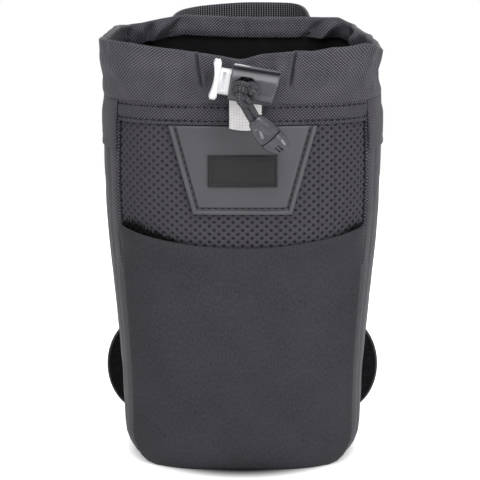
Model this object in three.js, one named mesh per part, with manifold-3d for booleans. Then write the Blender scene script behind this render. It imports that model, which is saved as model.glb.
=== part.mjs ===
// Padded belt pouch for one camera lens, with a drawcord collar.
// Millimetres. +X is to the wearer's left as the front is seen, +Y is towards the wearer, +Z is up.
// The origin is the middle of the floor that the pouch stands on.

import * as THREE from 'three';
import { mergeVertices } from 'three/addons/utils/BufferGeometryUtils.js';
import Module from 'manifold-3d';

const wasm = await Module();
wasm.setup();

// Outer shape of the bag
const body_half_width_top = 66.5;
const body_half_width_base = 57.5;
const front_reach_top = 59;
const front_reach_base = 48;
const back_reach = 56;
const rim_height = 205;
const collar_height = 27;
const band_height = 10;
const side_straight_height = 16;
const floor_round_height = 17;
const floor_round_side = 21;
const rear_corner_radius = 16;
const front_exponent = 3;
const seam_top_share = 0.883;
const seam_base_share = 0.93;
const band_top = rim_height - collar_height;
const band_bottom = band_top - band_height;
const side_full_height = band_bottom - side_straight_height;

// Cloth, foam and the air between sewn layers
const layer_gap = 0.3;
const pocket_thickness = 1.2;
const mesh_thickness = 1.6;
const foam_thickness = 4.4;
const lining_thickness = 0.7;
const band_thickness = 0.6;
const inner_floor_round = 0.7;

// Open pocket, side yokes and the parts sewn on the front
const yoke_height = 24;
const patch_drop = 42;
const patch_half_width_top = 34.7;
const patch_half_width_bottom = 23.2;
const patch_thickness = 2;
const label_width = 32.4;
const label_height = 15;
const label_rise = 20.7;
const label_thickness = 1.2;
const pocket_drop = 16;
const pocket_hem_rise = 9;
const yoke_bottom = band_top - yoke_height;
const patch_bottom = band_bottom - patch_drop;
const label_middle_height = patch_bottom + label_rise;
const pocket_top_centre = patch_bottom - pocket_drop;
const pocket_top_seam = pocket_top_centre + pocket_hem_rise;

// Collar with its cord tunnel
const rim_front_dip = 5;
const rim_half_width = 68;
const rim_front_reach = 60;
const rim_exponent = 5;
const collar_wall = 2.4;
const hem_thickness = 6.6;
const hem_depth = 15;
const hem_edge_round = 1.2;
const tunnel_wall = 1.4;
const tunnel_height = 8;
const tunnel_hem = 1.5;
const exit_slot_width = 18;
const cord_drop = hem_depth - tunnel_hem - tunnel_height / 2;

// Drawcord, its knot and its lock
const cord_diameter = 2.5;
const lock_x = 1.3;
const lock_drop = 12.4;
const lock_tilt_degrees = 9;
const barrel_stand_off = 3;
const barrel_depth = 14;
const barrel_left = 7.3;
const barrel_right = 15.2;
const barrel_height = 16.6;
const barrel_rise = 1.2;
const barrel_edge_round = 4;
const barrel_end_taper = 1.5;
const cord_hole_radius = 5.2;
const bore_wall_high = 1.7;
const bore_wall_deep = 2.7;
const bore_end_wall = 1.6;
const press_travel = 4;
const slide_clearance = 0.3;
const plunger_hole_height = 8;
const plunger_hole_width = 10;
const plunger_flange = 4.3;
const plunger_flange_height = 18;
const plunger_flange_depth = 11;
const plunger_flange_bow = 1.2;
const plunger_exposed_neck = 5;
const plunger_stem_end = 6.4;
const spring_wire = 0.6;
const spring_radius = 2.8;
const spring_turns = 4;
const knot_radius = 5.2;
const knot_depth = 9.6;
const knot_drop = 0.9;
const strand_left_offset = 3.27;
const strand_right_offset = 0.34;
const strand_rear_rise = 1.6;
const strand_front_rise = 0.5;
const tail_spread = 2.9;
const knot_tail_gap = 0.9;
const lock_z = rim_height - rim_front_dip - lock_drop;
const barrel_back = rim_front_reach + barrel_stand_off;
const bore_height = barrel_height - 2 * bore_wall_high;
const bore_depth = barrel_depth - 2 * bore_wall_deep;
const strand_left_x = lock_x - strand_left_offset;
const strand_right_x = lock_x - strand_right_offset;
const strand_rear_z = lock_z + strand_rear_rise;
const strand_front_z = lock_z + strand_front_rise;

// Moulded cord end
const cord_end_offset = 4.1;
const cord_end_drop = 13.6;
const cord_end_turn_degrees = 40.5;
const cord_end_length = 20;
const cord_end_half_width = 5.75;
const cord_end_half_depth = 3.9;
const cord_end_split_share = 0.58;
const cord_end_start_x = lock_x + cord_end_offset;
const cord_end_start_z = lock_z - cord_end_drop;

// Tab that ties the lock to the bag
const tab_width = 15;
const tab_thickness = 2.2;
const tab_overlap = 2;
const tab_lock_drop = 1.6;
const tab_bottom = band_bottom - tab_overlap;
const tab_top = lock_z - tab_lock_drop;

// Carry handle of ribbed webbing
const handle_webbing_width = 25;
const handle_webbing_thickness = 2;
const handle_half_span = 33;
const handle_anchor_length = 13.5;
const handle_bulge = 29;
const handle_rise = 8.9;

// Belt flap behind the bag
const flap_top_drop = 1.9;
const flap_half_width = 42;
const flap_bar_half_width = 69.5;
const flap_bar_radius = 23.5;
const flap_bar_middle = 27.5;
const flap_neck_round = 3.5;
const belt_slot_depth = 7.8;
const belt_slot_drop = 8.1;
const belt_slot_rise = 2;
const flap_fold_height = 6;
const flap_face_thickness = 1;
const flap_stiffener_thickness = 1.2;
const flap_binding_width = 1.6;
const flap_stiffener_inset = 5;
const strip_height = 10;
const strip_thickness = 1.6;
const strip_gap = 0.7;
const hook_thickness = 1.2;
const loop_inset = 4;
const loop_drop = 3;
const loop_height = 34;
const hook_inset = 2;
const flap_top = band_bottom - flap_top_drop;
const belt_slot_top = flap_top - belt_slot_drop;
const belt_slot_bottom = flap_bar_middle + flap_bar_radius + belt_slot_rise;
const loop_half_width = flap_half_width - loop_inset;
const loop_top = belt_slot_bottom - flap_fold_height - loop_drop;
const loop_bottom = loop_top - loop_height;

// How finely the cloth is divided
const front_divisions = 12;
const seam_arc_divisions = 3;
const rear_corner_divisions = 4;
const floor_divisions = 5;
const patch_divisions = 4;
const plate_arc_divisions = 10;
const bar_arc_divisions = 6;
const knot_divisions = 16;
const longest_cord_step = 3;
const wall_divisions = 5;
const cord_sides = 8;
const spring_sides = 6;
const spring_steps_per_turn = 12;
const round_divisions = 24;
const cut_overrun = 4;

// Depths of the layers, counted inwards from the outer face
const facing_depth = pocket_thickness + layer_gap + mesh_thickness;
const mesh_depth = pocket_thickness + layer_gap;
const foam_depth = facing_depth + layer_gap;
const lining_depth = foam_depth + foam_thickness + layer_gap;
const lining_end_depth = lining_depth + lining_thickness;
const floor_round_front = lining_end_depth + inner_floor_round;
const stiffener_depth = mesh_depth;
const patch_inner = mesh_depth - layer_gap;
const patch_outer = patch_inner - patch_thickness;
const tab_inner_reach = front_reach_top - patch_outer + layer_gap / 2;
const back_facing_depth = pocket_thickness;

const quarter_turn = Math.PI / 2;
const half_turn = Math.PI;
const full_turn = 2 * Math.PI;
const degree = half_turn / 180;
const { lerp, clamp, smoothstep } = THREE.MathUtils;

// Materials, by what each piece is made of
function finish(colour, roughness, metalness = 0) {
  return new THREE.MeshStandardMaterial({ color: colour, roughness, metalness });
}
const ballistic_cloth = finish(0x3f3e42, 0.85);
const pocket_cloth = finish(0x46454a, 0.95);
const air_mesh = finish(0x3a393d, 0.9);
const foam = finish(0x6d6d70, 0.95);
const lining_cloth = finish(0x232326, 0.9);
const patch_rubber = finish(0x5c5c60, 0.7);
const badge_cloth = finish(0x1f1f21, 0.8);
const black_plastic = finish(0x2e2e31, 0.35);
const white_plastic = finish(0xf2f2f4, 0.4);
const tab_webbing = finish(0xe8e0dc, 0.85);
const black_webbing = finish(0x3b3b3f, 0.8);
const cord_sheath = finish(0x2a2a2c, 0.9);
const spring_steel = finish(0xb8b8ba, 0.3, 1);
const stiff_sheet = finish(0x18181a, 0.5);
const hook_cloth = finish(0x1c1c1e, 0.95);

const pouch = new THREE.Group();

function addPiece(name, geometry, material, parent = pouch) {
  const mesh = new THREE.Mesh(geometry, material);
  mesh.name = name;
  parent.add(mesh);
  return mesh;
}

// Outline of the bag at one height, moved inwards by a depth
function wallShape(z) {
  const width_rise = smoothstep(z, floor_round_height, side_full_height);
  const reach_rise = clamp((z - floor_round_height) / (band_bottom - floor_round_height), 0, 1);
  const flare = smoothstep(z, band_top, rim_height);
  const body_half = lerp(body_half_width_base, body_half_width_top, width_rise);
  const body_front = lerp(front_reach_base, front_reach_top, Math.sin(reach_rise * quarter_turn));
  return {
    half: lerp(body_half, rim_half_width, flare),
    front: lerp(body_front, rim_front_reach, flare),
    exponent: lerp(front_exponent, rim_exponent, flare),
    seam_share: lerp(seam_base_share, seam_top_share, reach_rise),
  };
}

function sectionAt(row, depth) {
  const on_floor = row.turn !== undefined;
  const shape = wallShape(on_floor ? floor_round_height : row.z);
  const draw = on_floor ? 1 - Math.cos(row.turn) : 0;
  const outer_half = shape.half - floor_round_side * draw;
  const outer_front = shape.front - floor_round_front * draw;
  const rest = 1 - Math.pow(shape.seam_share, shape.exponent);
  const seam_front = outer_front * Math.pow(rest, 1 / shape.exponent);
  return {
    exponent: shape.exponent,
    seam: Math.atan2(shape.seam_share * outer_half, seam_front),
    half: shape.half - depth - (floor_round_side - depth) * draw,
    front: shape.front - depth - (floor_round_front - depth) * draw,
    back: back_reach - depth - (floor_round_front - depth) * draw,
    corner: rear_corner_radius - depth * (1 - draw),
    z: on_floor ? floor_round_height - (floor_round_height - depth) * Math.sin(row.turn) : row.z,
  };
}

function frontAt(section, turn) {
  const across = Math.sin(turn);
  const forward = Math.cos(turn);
  const width_part = Math.pow(Math.abs(across) / section.half, section.exponent);
  const reach_part = Math.pow(Math.abs(forward) / section.front, section.exponent);
  const radius = Math.pow(width_part + reach_part, -1 / section.exponent);
  return [radius * across, -radius * forward];
}

// One point of the cloth: a row gives its height, a column gives its place round the bag
function clothPoint(row, column, depth) {
  const section = sectionAt(row, depth);
  const trim = column.trim ?? 0;
  let x = 0;
  let y = 0;
  if (column.face === 'front') {
    [x, y] = frontAt(section, column.share * (section.seam - trim / section.half));
  } else if (column.face === 'seam_arc') {
    const start = section.seam + trim / section.half;
    [x, y] = frontAt(section, lerp(start, quarter_turn, column.share));
  } else if (column.face === 'side') {
    x = section.half;
    y = lerp(0, section.back - section.corner, column.share);
  } else if (column.face === 'rear_corner') {
    const turn = column.share * (quarter_turn - trim / section.corner);
    x = section.half - section.corner + section.corner * Math.cos(turn);
    y = section.back - section.corner + section.corner * Math.sin(turn);
  } else if (column.face === 'back') {
    x = column.share * (section.half - section.corner - trim);
    y = section.back;
  } else {
    x = column.share * column.reach(section.z) + column.middle;
    const share = Math.pow(Math.abs(x) / section.half, section.exponent);
    y = -section.front * Math.pow(1 - share, 1 / section.exponent);
  }
  return new THREE.Vector3(x * (column.side ?? 1), y, section.z);
}

// Columns of each panel, always listed anticlockwise as seen from above
function frontColumns(trim) {
  const columns = [];
  for (let i = 0; i <= front_divisions; i += 1) {
    columns.push({ face: 'front', share: lerp(-1, 1, i / front_divisions), trim });
  }
  return columns;
}

function sideColumns(side, trim) {
  const columns = [];
  for (let i = 0; i < seam_arc_divisions; i += 1) {
    columns.push({ face: 'seam_arc', share: i / seam_arc_divisions, side, trim });
  }
  columns.push({ face: 'side', share: 0, side });
  for (let i = 0; i <= rear_corner_divisions; i += 1) {
    columns.push({ face: 'rear_corner', share: i / rear_corner_divisions, side, trim });
  }
  return side > 0 ? columns : columns.reverse();
}

function backColumns(trim) {
  return [1, 0, -1].map((share) => ({ face: 'back', share, trim }));
}

function ringColumns() {
  const right = sideColumns(1, 0).slice(1);
  const left = sideColumns(-1, 0).slice(0, -1);
  return [...frontColumns(0), ...right, { face: 'back', share: 0 }, ...left];
}

// Rows from the edge of the floor panel up the wall; a top may change from column to column
function floorRows() {
  const rows = [];
  for (let i = 0; i < floor_divisions; i += 1) {
    rows.push(() => ({ turn: quarter_turn * (1 - i / floor_divisions) }));
  }
  return rows;
}

function wallRows(bottom, top, divisions) {
  const rows = [];
  for (let i = 0; i <= divisions; i += 1) {
    rows.push((column) => ({ z: lerp(bottom, top(column), i / divisions) }));
  }
  return rows;
}

function flatTop(height) {
  return () => height;
}

// Closed solid from a grid of outer and inner points
function gridSolid(outer, inner, closed) {
  const row_count = outer.length;
  const column_count = outer[0].length;
  const points = [...outer.flat(), ...inner.flat()];
  const inner_start = row_count * column_count;
  const faces = [];
  const quad = (a, b, c, d) => faces.push(a, b, c, a, c, d);
  const last_column = closed ? column_count : column_count - 1;
  for (let r = 0; r < row_count - 1; r += 1) {
    for (let c = 0; c < last_column; c += 1) {
      const next = (c + 1) % column_count;
      const low = r * column_count;
      const high = low + column_count;
      quad(low + c, low + next, high + next, high + c);
      const [inner_low, inner_high] = [inner_start + low, inner_start + high];
      quad(inner_high + c, inner_high + next, inner_low + next, inner_low + c);
    }
  }
  const top = (row_count - 1) * column_count;
  for (let c = 0; c < last_column; c += 1) {
    const next = (c + 1) % column_count;
    quad(next, c, inner_start + c, inner_start + next);
    quad(top + c, top + next, inner_start + top + next, inner_start + top + c);
  }
  if (!closed) {
    const end = column_count - 1;
    for (let r = 0; r < row_count - 1; r += 1) {
      const low = r * column_count;
      const high = low + column_count;
      quad(low, high, inner_start + high, inner_start + low);
      quad(low + end, inner_start + low + end, inner_start + high + end, high + end);
    }
  }
  return outwardGeometry(points, faces);
}

function signedVolume(points, faces) {
  let volume = 0;
  for (let i = 0; i < faces.length; i += 3) {
    const [a, b, c] = [points[faces[i]], points[faces[i + 1]], points[faces[i + 2]]];
    volume += a.dot(b.clone().cross(c));
  }
  return volume;
}

function outwardGeometry(points, faces) {
  if (signedVolume(points, faces) < 0) {
    faces.reverse();
  }
  const geometry = new THREE.BufferGeometry();
  const places = points.flatMap((point) => point.toArray());
  geometry.setAttribute('position', new THREE.Float32BufferAttribute(places, 3));
  geometry.setIndex(faces);
  geometry.computeVertexNormals();
  return geometry;
}

function clothPanel(rows, columns, outer_depth, inner_depth) {
  const across = (row, depth) => columns.map((column) => clothPoint(row(column), column, depth));
  const layer = (depth) => rows.map((row) => across(row, depth));
  return gridSolid(layer(outer_depth), layer(inner_depth), false);
}

// Ring swept round the bag; the profile is a closed list of depths and heights
function ringSolid(profile) {
  const columns = ringColumns();
  const loopAt = (column) => profile(column).map(([depth, z]) => clothPoint({ z }, column, depth));
  const loops = columns.map(loopAt);
  const side_count = loops[0].length;
  const faces = [];
  for (let i = 0; i < loops.length; i += 1) {
    const here = i * side_count;
    const next = ((i + 1) % loops.length) * side_count;
    for (let j = 0; j < side_count; j += 1) {
      const k = (j + 1) % side_count;
      faces.push(here + j, next + j, next + k, here + j, next + k, here + k);
    }
  }
  return outwardGeometry(loops.flat(), faces);
}

// Joins and cuts
function toSolid(geometry) {
  const bare = geometry.clone();
  bare.deleteAttribute('normal');
  bare.deleteAttribute('uv');
  const merged = mergeVertices(bare);
  return new wasm.Manifold(new wasm.Mesh({
    numProp: 3,
    vertProperties: new Float32Array(merged.attributes.position.array),
    triVerts: new Uint32Array(merged.index.array),
  }));
}

function toGeometry(solid) {
  const mesh = solid.getMesh();
  const geometry = new THREE.BufferGeometry();
  const places = new Float32Array(mesh.vertProperties);
  geometry.setAttribute('position', new THREE.BufferAttribute(places, 3));
  geometry.setIndex(new THREE.BufferAttribute(new Uint32Array(mesh.triVerts), 1));
  geometry.computeVertexNormals();
  return geometry;
}

function cut(body, ...tools) {
  return toGeometry(tools.reduce((solid, tool) => solid.subtract(toSolid(tool)), toSolid(body)));
}

function overlapOf(first, second) {
  return toGeometry(toSolid(first).intersect(toSolid(second)));
}

function block(x0, x1, y0, y1, z0, z1) {
  const geometry = new THREE.BoxGeometry(x1 - x0, y1 - y0, z1 - z0);
  return geometry.translate((x0 + x1) / 2, (y0 + y1) / 2, (z0 + z1) / 2);
}

// Flat shape in X and Z, made thick along Y
function plateAlongY(shape, y0, y1) {
  const settings = { depth: y1 - y0, bevelEnabled: false, curveSegments: plate_arc_divisions };
  const geometry = new THREE.ExtrudeGeometry(shape, settings);
  return geometry.rotateX(quarter_turn).translate(0, y1, 0);
}

// Flat shape in Y and Z, made long along X
function barAlongX(shape, x0, x1) {
  const settings = { depth: x1 - x0, bevelEnabled: false, curveSegments: bar_arc_divisions };
  const geometry = new THREE.ExtrudeGeometry(shape, settings);
  return geometry.rotateX(quarter_turn).rotateZ(quarter_turn).translate(x0, 0, 0);
}

function roundedRectangle(x0, x1, y0, y1, radius) {
  const shape = new THREE.Shape();
  shape.moveTo(x0 + radius, y0);
  shape.lineTo(x1 - radius, y0);
  shape.absarc(x1 - radius, y0 + radius, radius, -quarter_turn, 0);
  shape.absarc(x1 - radius, y1 - radius, radius, 0, quarter_turn);
  shape.absarc(x0 + radius, y1 - radius, radius, quarter_turn, half_turn);
  shape.absarc(x0 + radius, y0 + radius, radius, half_turn, half_turn + quarter_turn);
  return shape;
}

// Front: air mesh over its whole height, with the open pocket sewn over the lower part
function pocketTop(column) {
  return lerp(pocket_top_centre, pocket_top_seam, column.share * column.share);
}

function buildFront() {
  const seam_trim = layer_gap / 2;
  const columns = frontColumns(seam_trim);
  const full_rows = [...floorRows(), ...wallRows(floor_round_height, flatTop(band_top), wall_divisions)];
  const pocket_rows = [...floorRows(), ...wallRows(floor_round_height, pocketTop, wall_divisions)];
  const band_rows = wallRows(band_bottom, flatTop(band_top), 1);
  addPiece('front_mesh_panel', clothPanel(full_rows, columns, mesh_depth, facing_depth), air_mesh);
  addPiece('front_pocket', clothPanel(pocket_rows, columns, 0, pocket_thickness), pocket_cloth);
  addPiece('hem_band', clothPanel(band_rows, columns, 0, pocket_thickness), ballistic_cloth);
  const foam_end = foam_depth + foam_thickness;
  addPiece('foam_front', clothPanel(full_rows, columns, foam_depth, foam_end), foam);
  addPiece('lining_front', clothPanel(full_rows, columns, lining_depth, lining_end_depth), lining_cloth);
}

// Gussets: one panel from the front seam, round the side, to the flat back
function buildSides() {
  const rows = [...floorRows(), ...wallRows(floor_round_height, flatTop(band_top), wall_divisions)];
  const yoke_rows = wallRows(yoke_bottom, flatTop(band_top), 2);
  for (const [side, word] of [[-1, 'left'], [1, 'right']]) {
    const columns = sideColumns(side, layer_gap / 2);
    const foam_end = foam_depth + foam_thickness;
    addPiece(`side_panel_${word}`, clothPanel(rows, columns, 0, facing_depth), ballistic_cloth);
    addPiece(`foam_${word}`, clothPanel(rows, columns, foam_depth, foam_end), foam);
    addPiece(`lining_${word}`, clothPanel(rows, columns, lining_depth, lining_end_depth), lining_cloth);
    const yoke = clothPanel(yoke_rows, columns, -layer_gap - band_thickness, -layer_gap);
    addPiece(`side_yoke_${word}`, yoke, ballistic_cloth);
  }
}

// Back: flat facing, a stiff sheet behind it, then foam and lining
function buildBack() {
  const rows = [...floorRows(), ...wallRows(floor_round_height, flatTop(band_top), wall_divisions)];
  const columns = backColumns(layer_gap);
  const sheet_end = facing_depth;
  const foam_end = foam_depth + foam_thickness;
  const sheet_rows = wallRows(floor_round_height, flatTop(band_top), wall_divisions);
  const band_rows = wallRows(band_bottom, flatTop(band_top), 1);
  addPiece('back_panel', clothPanel(rows, columns, 0, back_facing_depth), ballistic_cloth);
  addPiece('back_stiffener', clothPanel(sheet_rows, columns, stiffener_depth, sheet_end), stiff_sheet);
  addPiece('foam_back', clothPanel(rows, columns, foam_depth, foam_end), foam);
  addPiece('lining_back', clothPanel(rows, columns, lining_depth, lining_end_depth), lining_cloth);
  const band = clothPanel(band_rows, columns, -layer_gap - band_thickness, -layer_gap);
  addPiece('back_band', band, ballistic_cloth);
}

// Floor: three flat sheets inside the edge that all the walls turn in to
function floorSheet(bottom, top) {
  const points = ringColumns().map((column) => clothPoint({ turn: quarter_turn }, column, 0));
  const shrink_x = 1 - layer_gap / (body_half_width_base - floor_round_side);
  const shrink_y = 1 - layer_gap / (front_reach_base - floor_round_front);
  const outline = points.map((p) => new THREE.Vector2(p.x * shrink_x, p.y * shrink_y));
  const shape = new THREE.Shape(outline);
  const geometry = new THREE.ExtrudeGeometry(shape, { depth: top - bottom, bevelEnabled: false });
  return geometry.translate(0, 0, bottom);
}

function buildFloor() {
  addPiece('base_panel', floorSheet(0, facing_depth), ballistic_cloth);
  addPiece('foam_base', floorSheet(foam_depth, foam_depth + foam_thickness), foam);
  addPiece('lining_base', floorSheet(lining_depth, lining_end_depth), lining_cloth);
}

// Moulded patch and bare woven label on the front
function buildPatch() {
  const patch_top = band_bottom - layer_gap;
  const widen = (z) => {
    const share = (z - patch_bottom) / (patch_top - patch_bottom);
    return lerp(patch_half_width_bottom, patch_half_width_top, share);
  };
  const patch_columns = [];
  const label_columns = [];
  for (let i = 0; i <= front_divisions; i += 1) {
    const share = lerp(-1, 1, i / front_divisions);
    patch_columns.push({ face: 'across', share, reach: widen, middle: 0 });
    label_columns.push({ face: 'across', share, reach: () => label_width / 2, middle: 0 });
  }
  const label_inner = patch_outer - layer_gap;
  const label_bottom = label_middle_height - label_height / 2;
  const label_rows = wallRows(label_bottom, flatTop(label_bottom + label_height), 2);
  const patch_rows = wallRows(patch_bottom, flatTop(patch_top), patch_divisions);
  const patch = clothPanel(patch_rows, patch_columns, patch_outer, patch_inner);
  addPiece('rubber_patch', patch, patch_rubber);
  const label = clothPanel(label_rows, label_columns, label_inner - label_thickness, label_inner);
  addPiece('label_badge', label, badge_cloth);
}

// Collar: one cloth wall that folds over at the rim into a tunnel for the drawcord
function rimHeight(column) {
  const dip = column.face === 'front' ? rim_front_dip * (1 - column.share * column.share) : 0;
  return rim_height - dip;
}

function buildCollar() {
  const collar_bottom = band_top + layer_gap;
  const wall_outer = layer_gap / 2;
  const wall_inner = wall_outer + collar_wall;
  const hem = (column) => {
    const rim = rimHeight(column);
    return [
      [wall_outer, collar_bottom],
      [0, rim - hem_depth],
      [0, rim - hem_edge_round],
      [hem_edge_round, rim],
      [hem_thickness - hem_edge_round, rim],
      [hem_thickness, rim - hem_edge_round],
      [hem_thickness, rim - hem_depth],
      [wall_inner, rim - hem_depth - hem_edge_round],
      [wall_inner, collar_bottom],
    ];
  };
  const tunnel = (column) => {
    const middle = rimHeight(column) - cord_drop;
    const low = middle - tunnel_height / 2;
    const high = middle + tunnel_height / 2;
    const inner = hem_thickness - tunnel_wall;
    return [[tunnel_wall, low], [tunnel_wall, high], [inner, high], [inner, low]];
  };
  const slot_middle = rim_height - rim_front_dip - cord_drop;
  const slot_half = exit_slot_width / 2;
  const slot_inner = -front_reach_top + hem_thickness / 2;
  const slot = block(
    lock_x - slot_half - cord_diameter / 2,
    lock_x + slot_half - cord_diameter / 2,
    -rim_front_reach - cut_overrun,
    slot_inner,
    slot_middle - tunnel_height / 2,
    slot_middle + tunnel_height / 2,
  );
  addPiece('collar', cut(ringSolid(hem), ringSolid(tunnel), slot), ballistic_cloth);
}

// Tilted frame of the cord lock: X runs along the barrel, Y through the cord hole
const lock_frame = new THREE.Group();
lock_frame.position.set(lock_x, -barrel_back - barrel_depth / 2, lock_z);
lock_frame.rotation.y = lock_tilt_degrees * degree;
pouch.add(lock_frame);

const stem_half_height = bore_height / 2 - slide_clearance;
const stem_half_depth = bore_depth / 2 - slide_clearance;
const bore_end = barrel_right - bore_end_wall;

function buildBarrel() {
  const low = barrel_rise - barrel_height / 2;
  const high = barrel_rise + barrel_height / 2;
  const side_outline = new THREE.Shape();
  side_outline.moveTo(-barrel_left, low);
  side_outline.lineTo(barrel_right - barrel_end_taper, low);
  side_outline.lineTo(barrel_right, high);
  side_outline.lineTo(-barrel_left, high);
  const half_depth = barrel_depth / 2;
  const end_outline = roundedRectangle(-half_depth, half_depth, low, high, barrel_edge_round);
  const outer = overlapOf(
    plateAlongY(side_outline, -half_depth, half_depth),
    barAlongX(end_outline, -barrel_left - cut_overrun, barrel_right + cut_overrun),
  );
  const bore_low = barrel_rise - bore_height / 2;
  const bore_outline = roundedRectangle(
    -bore_depth / 2,
    bore_depth / 2,
    bore_low,
    bore_low + bore_height,
    barrel_edge_round / 2,
  );
  const bore = barAlongX(bore_outline, -barrel_left - cut_overrun, bore_end);
  const hole_length = barrel_depth + 2 * cut_overrun;
  const hole = new THREE.CylinderGeometry(cord_hole_radius, cord_hole_radius, hole_length, round_divisions);
  addPiece('cord_lock_barrel', cut(outer, bore, hole), black_plastic, lock_frame);
}

function buildPlunger() {
  const stem_outline = roundedRectangle(
    -stem_half_depth,
    stem_half_depth,
    barrel_rise - stem_half_height,
    barrel_rise + stem_half_height,
    barrel_edge_round / 2 - slide_clearance,
  );
  const flange_inner = -barrel_left - plunger_exposed_neck;
  const stem = barAlongX(stem_outline, flange_inner - plunger_flange / 2, plunger_stem_end);
  const flange_low = barrel_rise - plunger_flange_height / 2;
  const flange_high = barrel_rise + plunger_flange_height / 2;
  const flange_outline = new THREE.Shape();
  flange_outline.moveTo(flange_inner, flange_low);
  flange_outline.lineTo(flange_inner, flange_high);
  flange_outline.lineTo(flange_inner - plunger_flange, flange_high);
  flange_outline.quadraticCurveTo(
    flange_inner - plunger_flange + 2 * plunger_flange_bow,
    barrel_rise,
    flange_inner - plunger_flange,
    flange_low,
  );
  const half_depth = plunger_flange_depth / 2;
  const flange = plateAlongY(flange_outline, -half_depth, half_depth);
  const whole = toGeometry(toSolid(stem).add(toSolid(flange)));
  const hole_right = plunger_hole_width / 2 - press_travel;
  const window = block(
    hole_right - plunger_hole_width,
    hole_right,
    -stem_half_depth - cut_overrun,
    stem_half_depth + cut_overrun,
    -plunger_hole_height / 2,
    plunger_hole_height / 2,
  );
  addPiece('cord_lock_plunger', cut(whole, window), white_plastic, lock_frame);
}

class HelixCurve extends THREE.Curve {
  getPoint(t, target = new THREE.Vector3()) {
    const turn = t * spring_turns * full_turn;
    const start = plunger_stem_end + layer_gap + spring_wire / 2;
    const end = bore_end - layer_gap - spring_wire / 2;
    const height = barrel_rise + spring_radius * Math.sin(turn);
    return target.set(lerp(start, end, t), spring_radius * Math.cos(turn), height);
  }
}

function buildSpring() {
  const wire = new THREE.Shape();
  wire.absarc(0, 0, spring_wire / 2, 0, full_turn);
  const steps = spring_steps_per_turn * spring_turns;
  const settings = { steps, extrudePath: new HelixCurve(), curveSegments: spring_sides / 2 };
  const geometry = new THREE.ExtrudeGeometry(wire, settings);
  addPiece('cord_lock_spring', geometry, spring_steel, lock_frame);
}

// Smooth curve that is divided exactly at the points it is given
class StepCurve extends THREE.CatmullRomCurve3 {
  getPointAt(u, target) {
    return this.getPoint(u, target);
  }

  getTangentAt(u, target) {
    return this.getTangent(u, target);
  }
}

// Cord of round section through a list of points, in steps of a few diameters at most
function cordThrough(points) {
  const longest = longest_cord_step * cord_diameter;
  const route = [points[0]];
  for (let i = 1; i < points.length; i += 1) {
    const pieces = Math.ceil(points[i].distanceTo(points[i - 1]) / longest);
    for (let k = 1; k <= pieces; k += 1) {
      route.push(points[i - 1].clone().lerp(points[i], k / pieces));
    }
  }
  const section = new THREE.Shape();
  section.absarc(0, 0, cord_diameter / 2, 0, full_turn);
  const curve = new StepCurve(route, false, 'centripetal');
  const steps = route.length - 1;
  return new THREE.ExtrudeGeometry(section, { steps, extrudePath: curve, curveSegments: cord_sides / 2 });
}

// Drawcord: through the lock, in at the slot, once round the tunnel and out again
const knot_front = barrel_back + barrel_depth;

function buildDrawcord() {
  const ring = ringColumns();
  const middle_depth = hem_thickness / 2;
  const route = (column) => clothPoint({ z: rimHeight(column) - cord_drop }, column, middle_depth);
  const first = front_divisions / 2 - 1;
  const around = [];
  for (let i = 0; i < ring.length - 1; i += 1) {
    const index = (first - i + ring.length) % ring.length;
    const column = ring[index];
    if (column.face !== 'front' || Math.abs(column.share) > 1 / front_divisions) {
      around.push(route(column));
    }
  }
  const front_end = -knot_front;
  const rear_end = -barrel_back + layer_gap;
  const middle_y = (front_end + rear_end) / 2;
  const middle_z = (strand_front_z + strand_rear_z) / 2;
  const strand = (x) => [
    new THREE.Vector3(x, front_end, strand_front_z),
    new THREE.Vector3(x, middle_y, middle_z),
    new THREE.Vector3(x, rear_end, strand_rear_z),
  ];
  const points = [...strand(strand_left_x), ...around, ...strand(strand_right_x).reverse()];
  addPiece('draw_cord', cordThrough(points), cord_sheath);
}

const knot_middle = [lock_x, -knot_front - layer_gap - knot_depth / 2, lock_z - knot_drop];

function buildKnot() {
  const knot = new THREE.SphereGeometry(1, knot_divisions, knot_divisions / 2);
  knot.scale(knot_radius, knot_depth / 2, knot_radius);
  addPiece('cord_knot', knot.translate(...knot_middle), cord_sheath);
}

// Two cord tails that hang from the knot into the moulded cord end
function cordEndPlace(along, across) {
  const turn = cord_end_turn_degrees * degree;
  const x = cord_end_start_x + along * Math.sin(turn) + across * Math.cos(turn);
  const z = cord_end_start_z - along * Math.cos(turn) + across * Math.sin(turn);
  return new THREE.Vector3(x, knot_middle[1], z);
}

function buildTails() {
  const knot_edge = knot_radius + knot_tail_gap;
  for (const [side, word] of [[-1, 'left'], [1, 'right']]) {
    const lean = Math.atan2(side * tail_spread / 2, knot_edge) + cord_end_turn_degrees * degree / 2;
    const start = new THREE.Vector3(
      knot_middle[0] + knot_edge * Math.sin(lean),
      knot_middle[1],
      knot_middle[2] - knot_edge * Math.cos(lean),
    );
    const end = cordEndPlace(-layer_gap, side * tail_spread / 2);
    const before = cordEndPlace(-layer_gap - cord_diameter, side * tail_spread / 2);
    addPiece(`cord_tail_${word}`, cordThrough([start, before, end]), cord_sheath);
  }
}

// Moulded end in two halves that snap over the knotted tails; widths are shares of its half-width
const cord_end_outline_shares = [
  [0, 0.59],
  [0.12, 0.78],
  [0.3, 0.95],
  [0.48, 1],
  [0.58, 1],
  [0.74, 0.95],
  [0.88, 0.8],
  [0.96, 0.6],
  [1, 0.36],
];

function cordEndHalf(from_share, to_share, start, end) {
  const outline = [new THREE.Vector2(0, start)];
  for (const [along, width] of cord_end_outline_shares) {
    if (along >= from_share && along <= to_share) {
      const height = clamp(along * cord_end_length, start, end);
      outline.push(new THREE.Vector2(width * cord_end_half_width, height));
    }
  }
  outline.push(new THREE.Vector2(0, end));
  const geometry = new THREE.LatheGeometry(outline, round_divisions / 2);
  geometry.scale(1, 1, cord_end_half_depth / cord_end_half_width);
  return geometry.rotateX(-quarter_turn);
}

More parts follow.
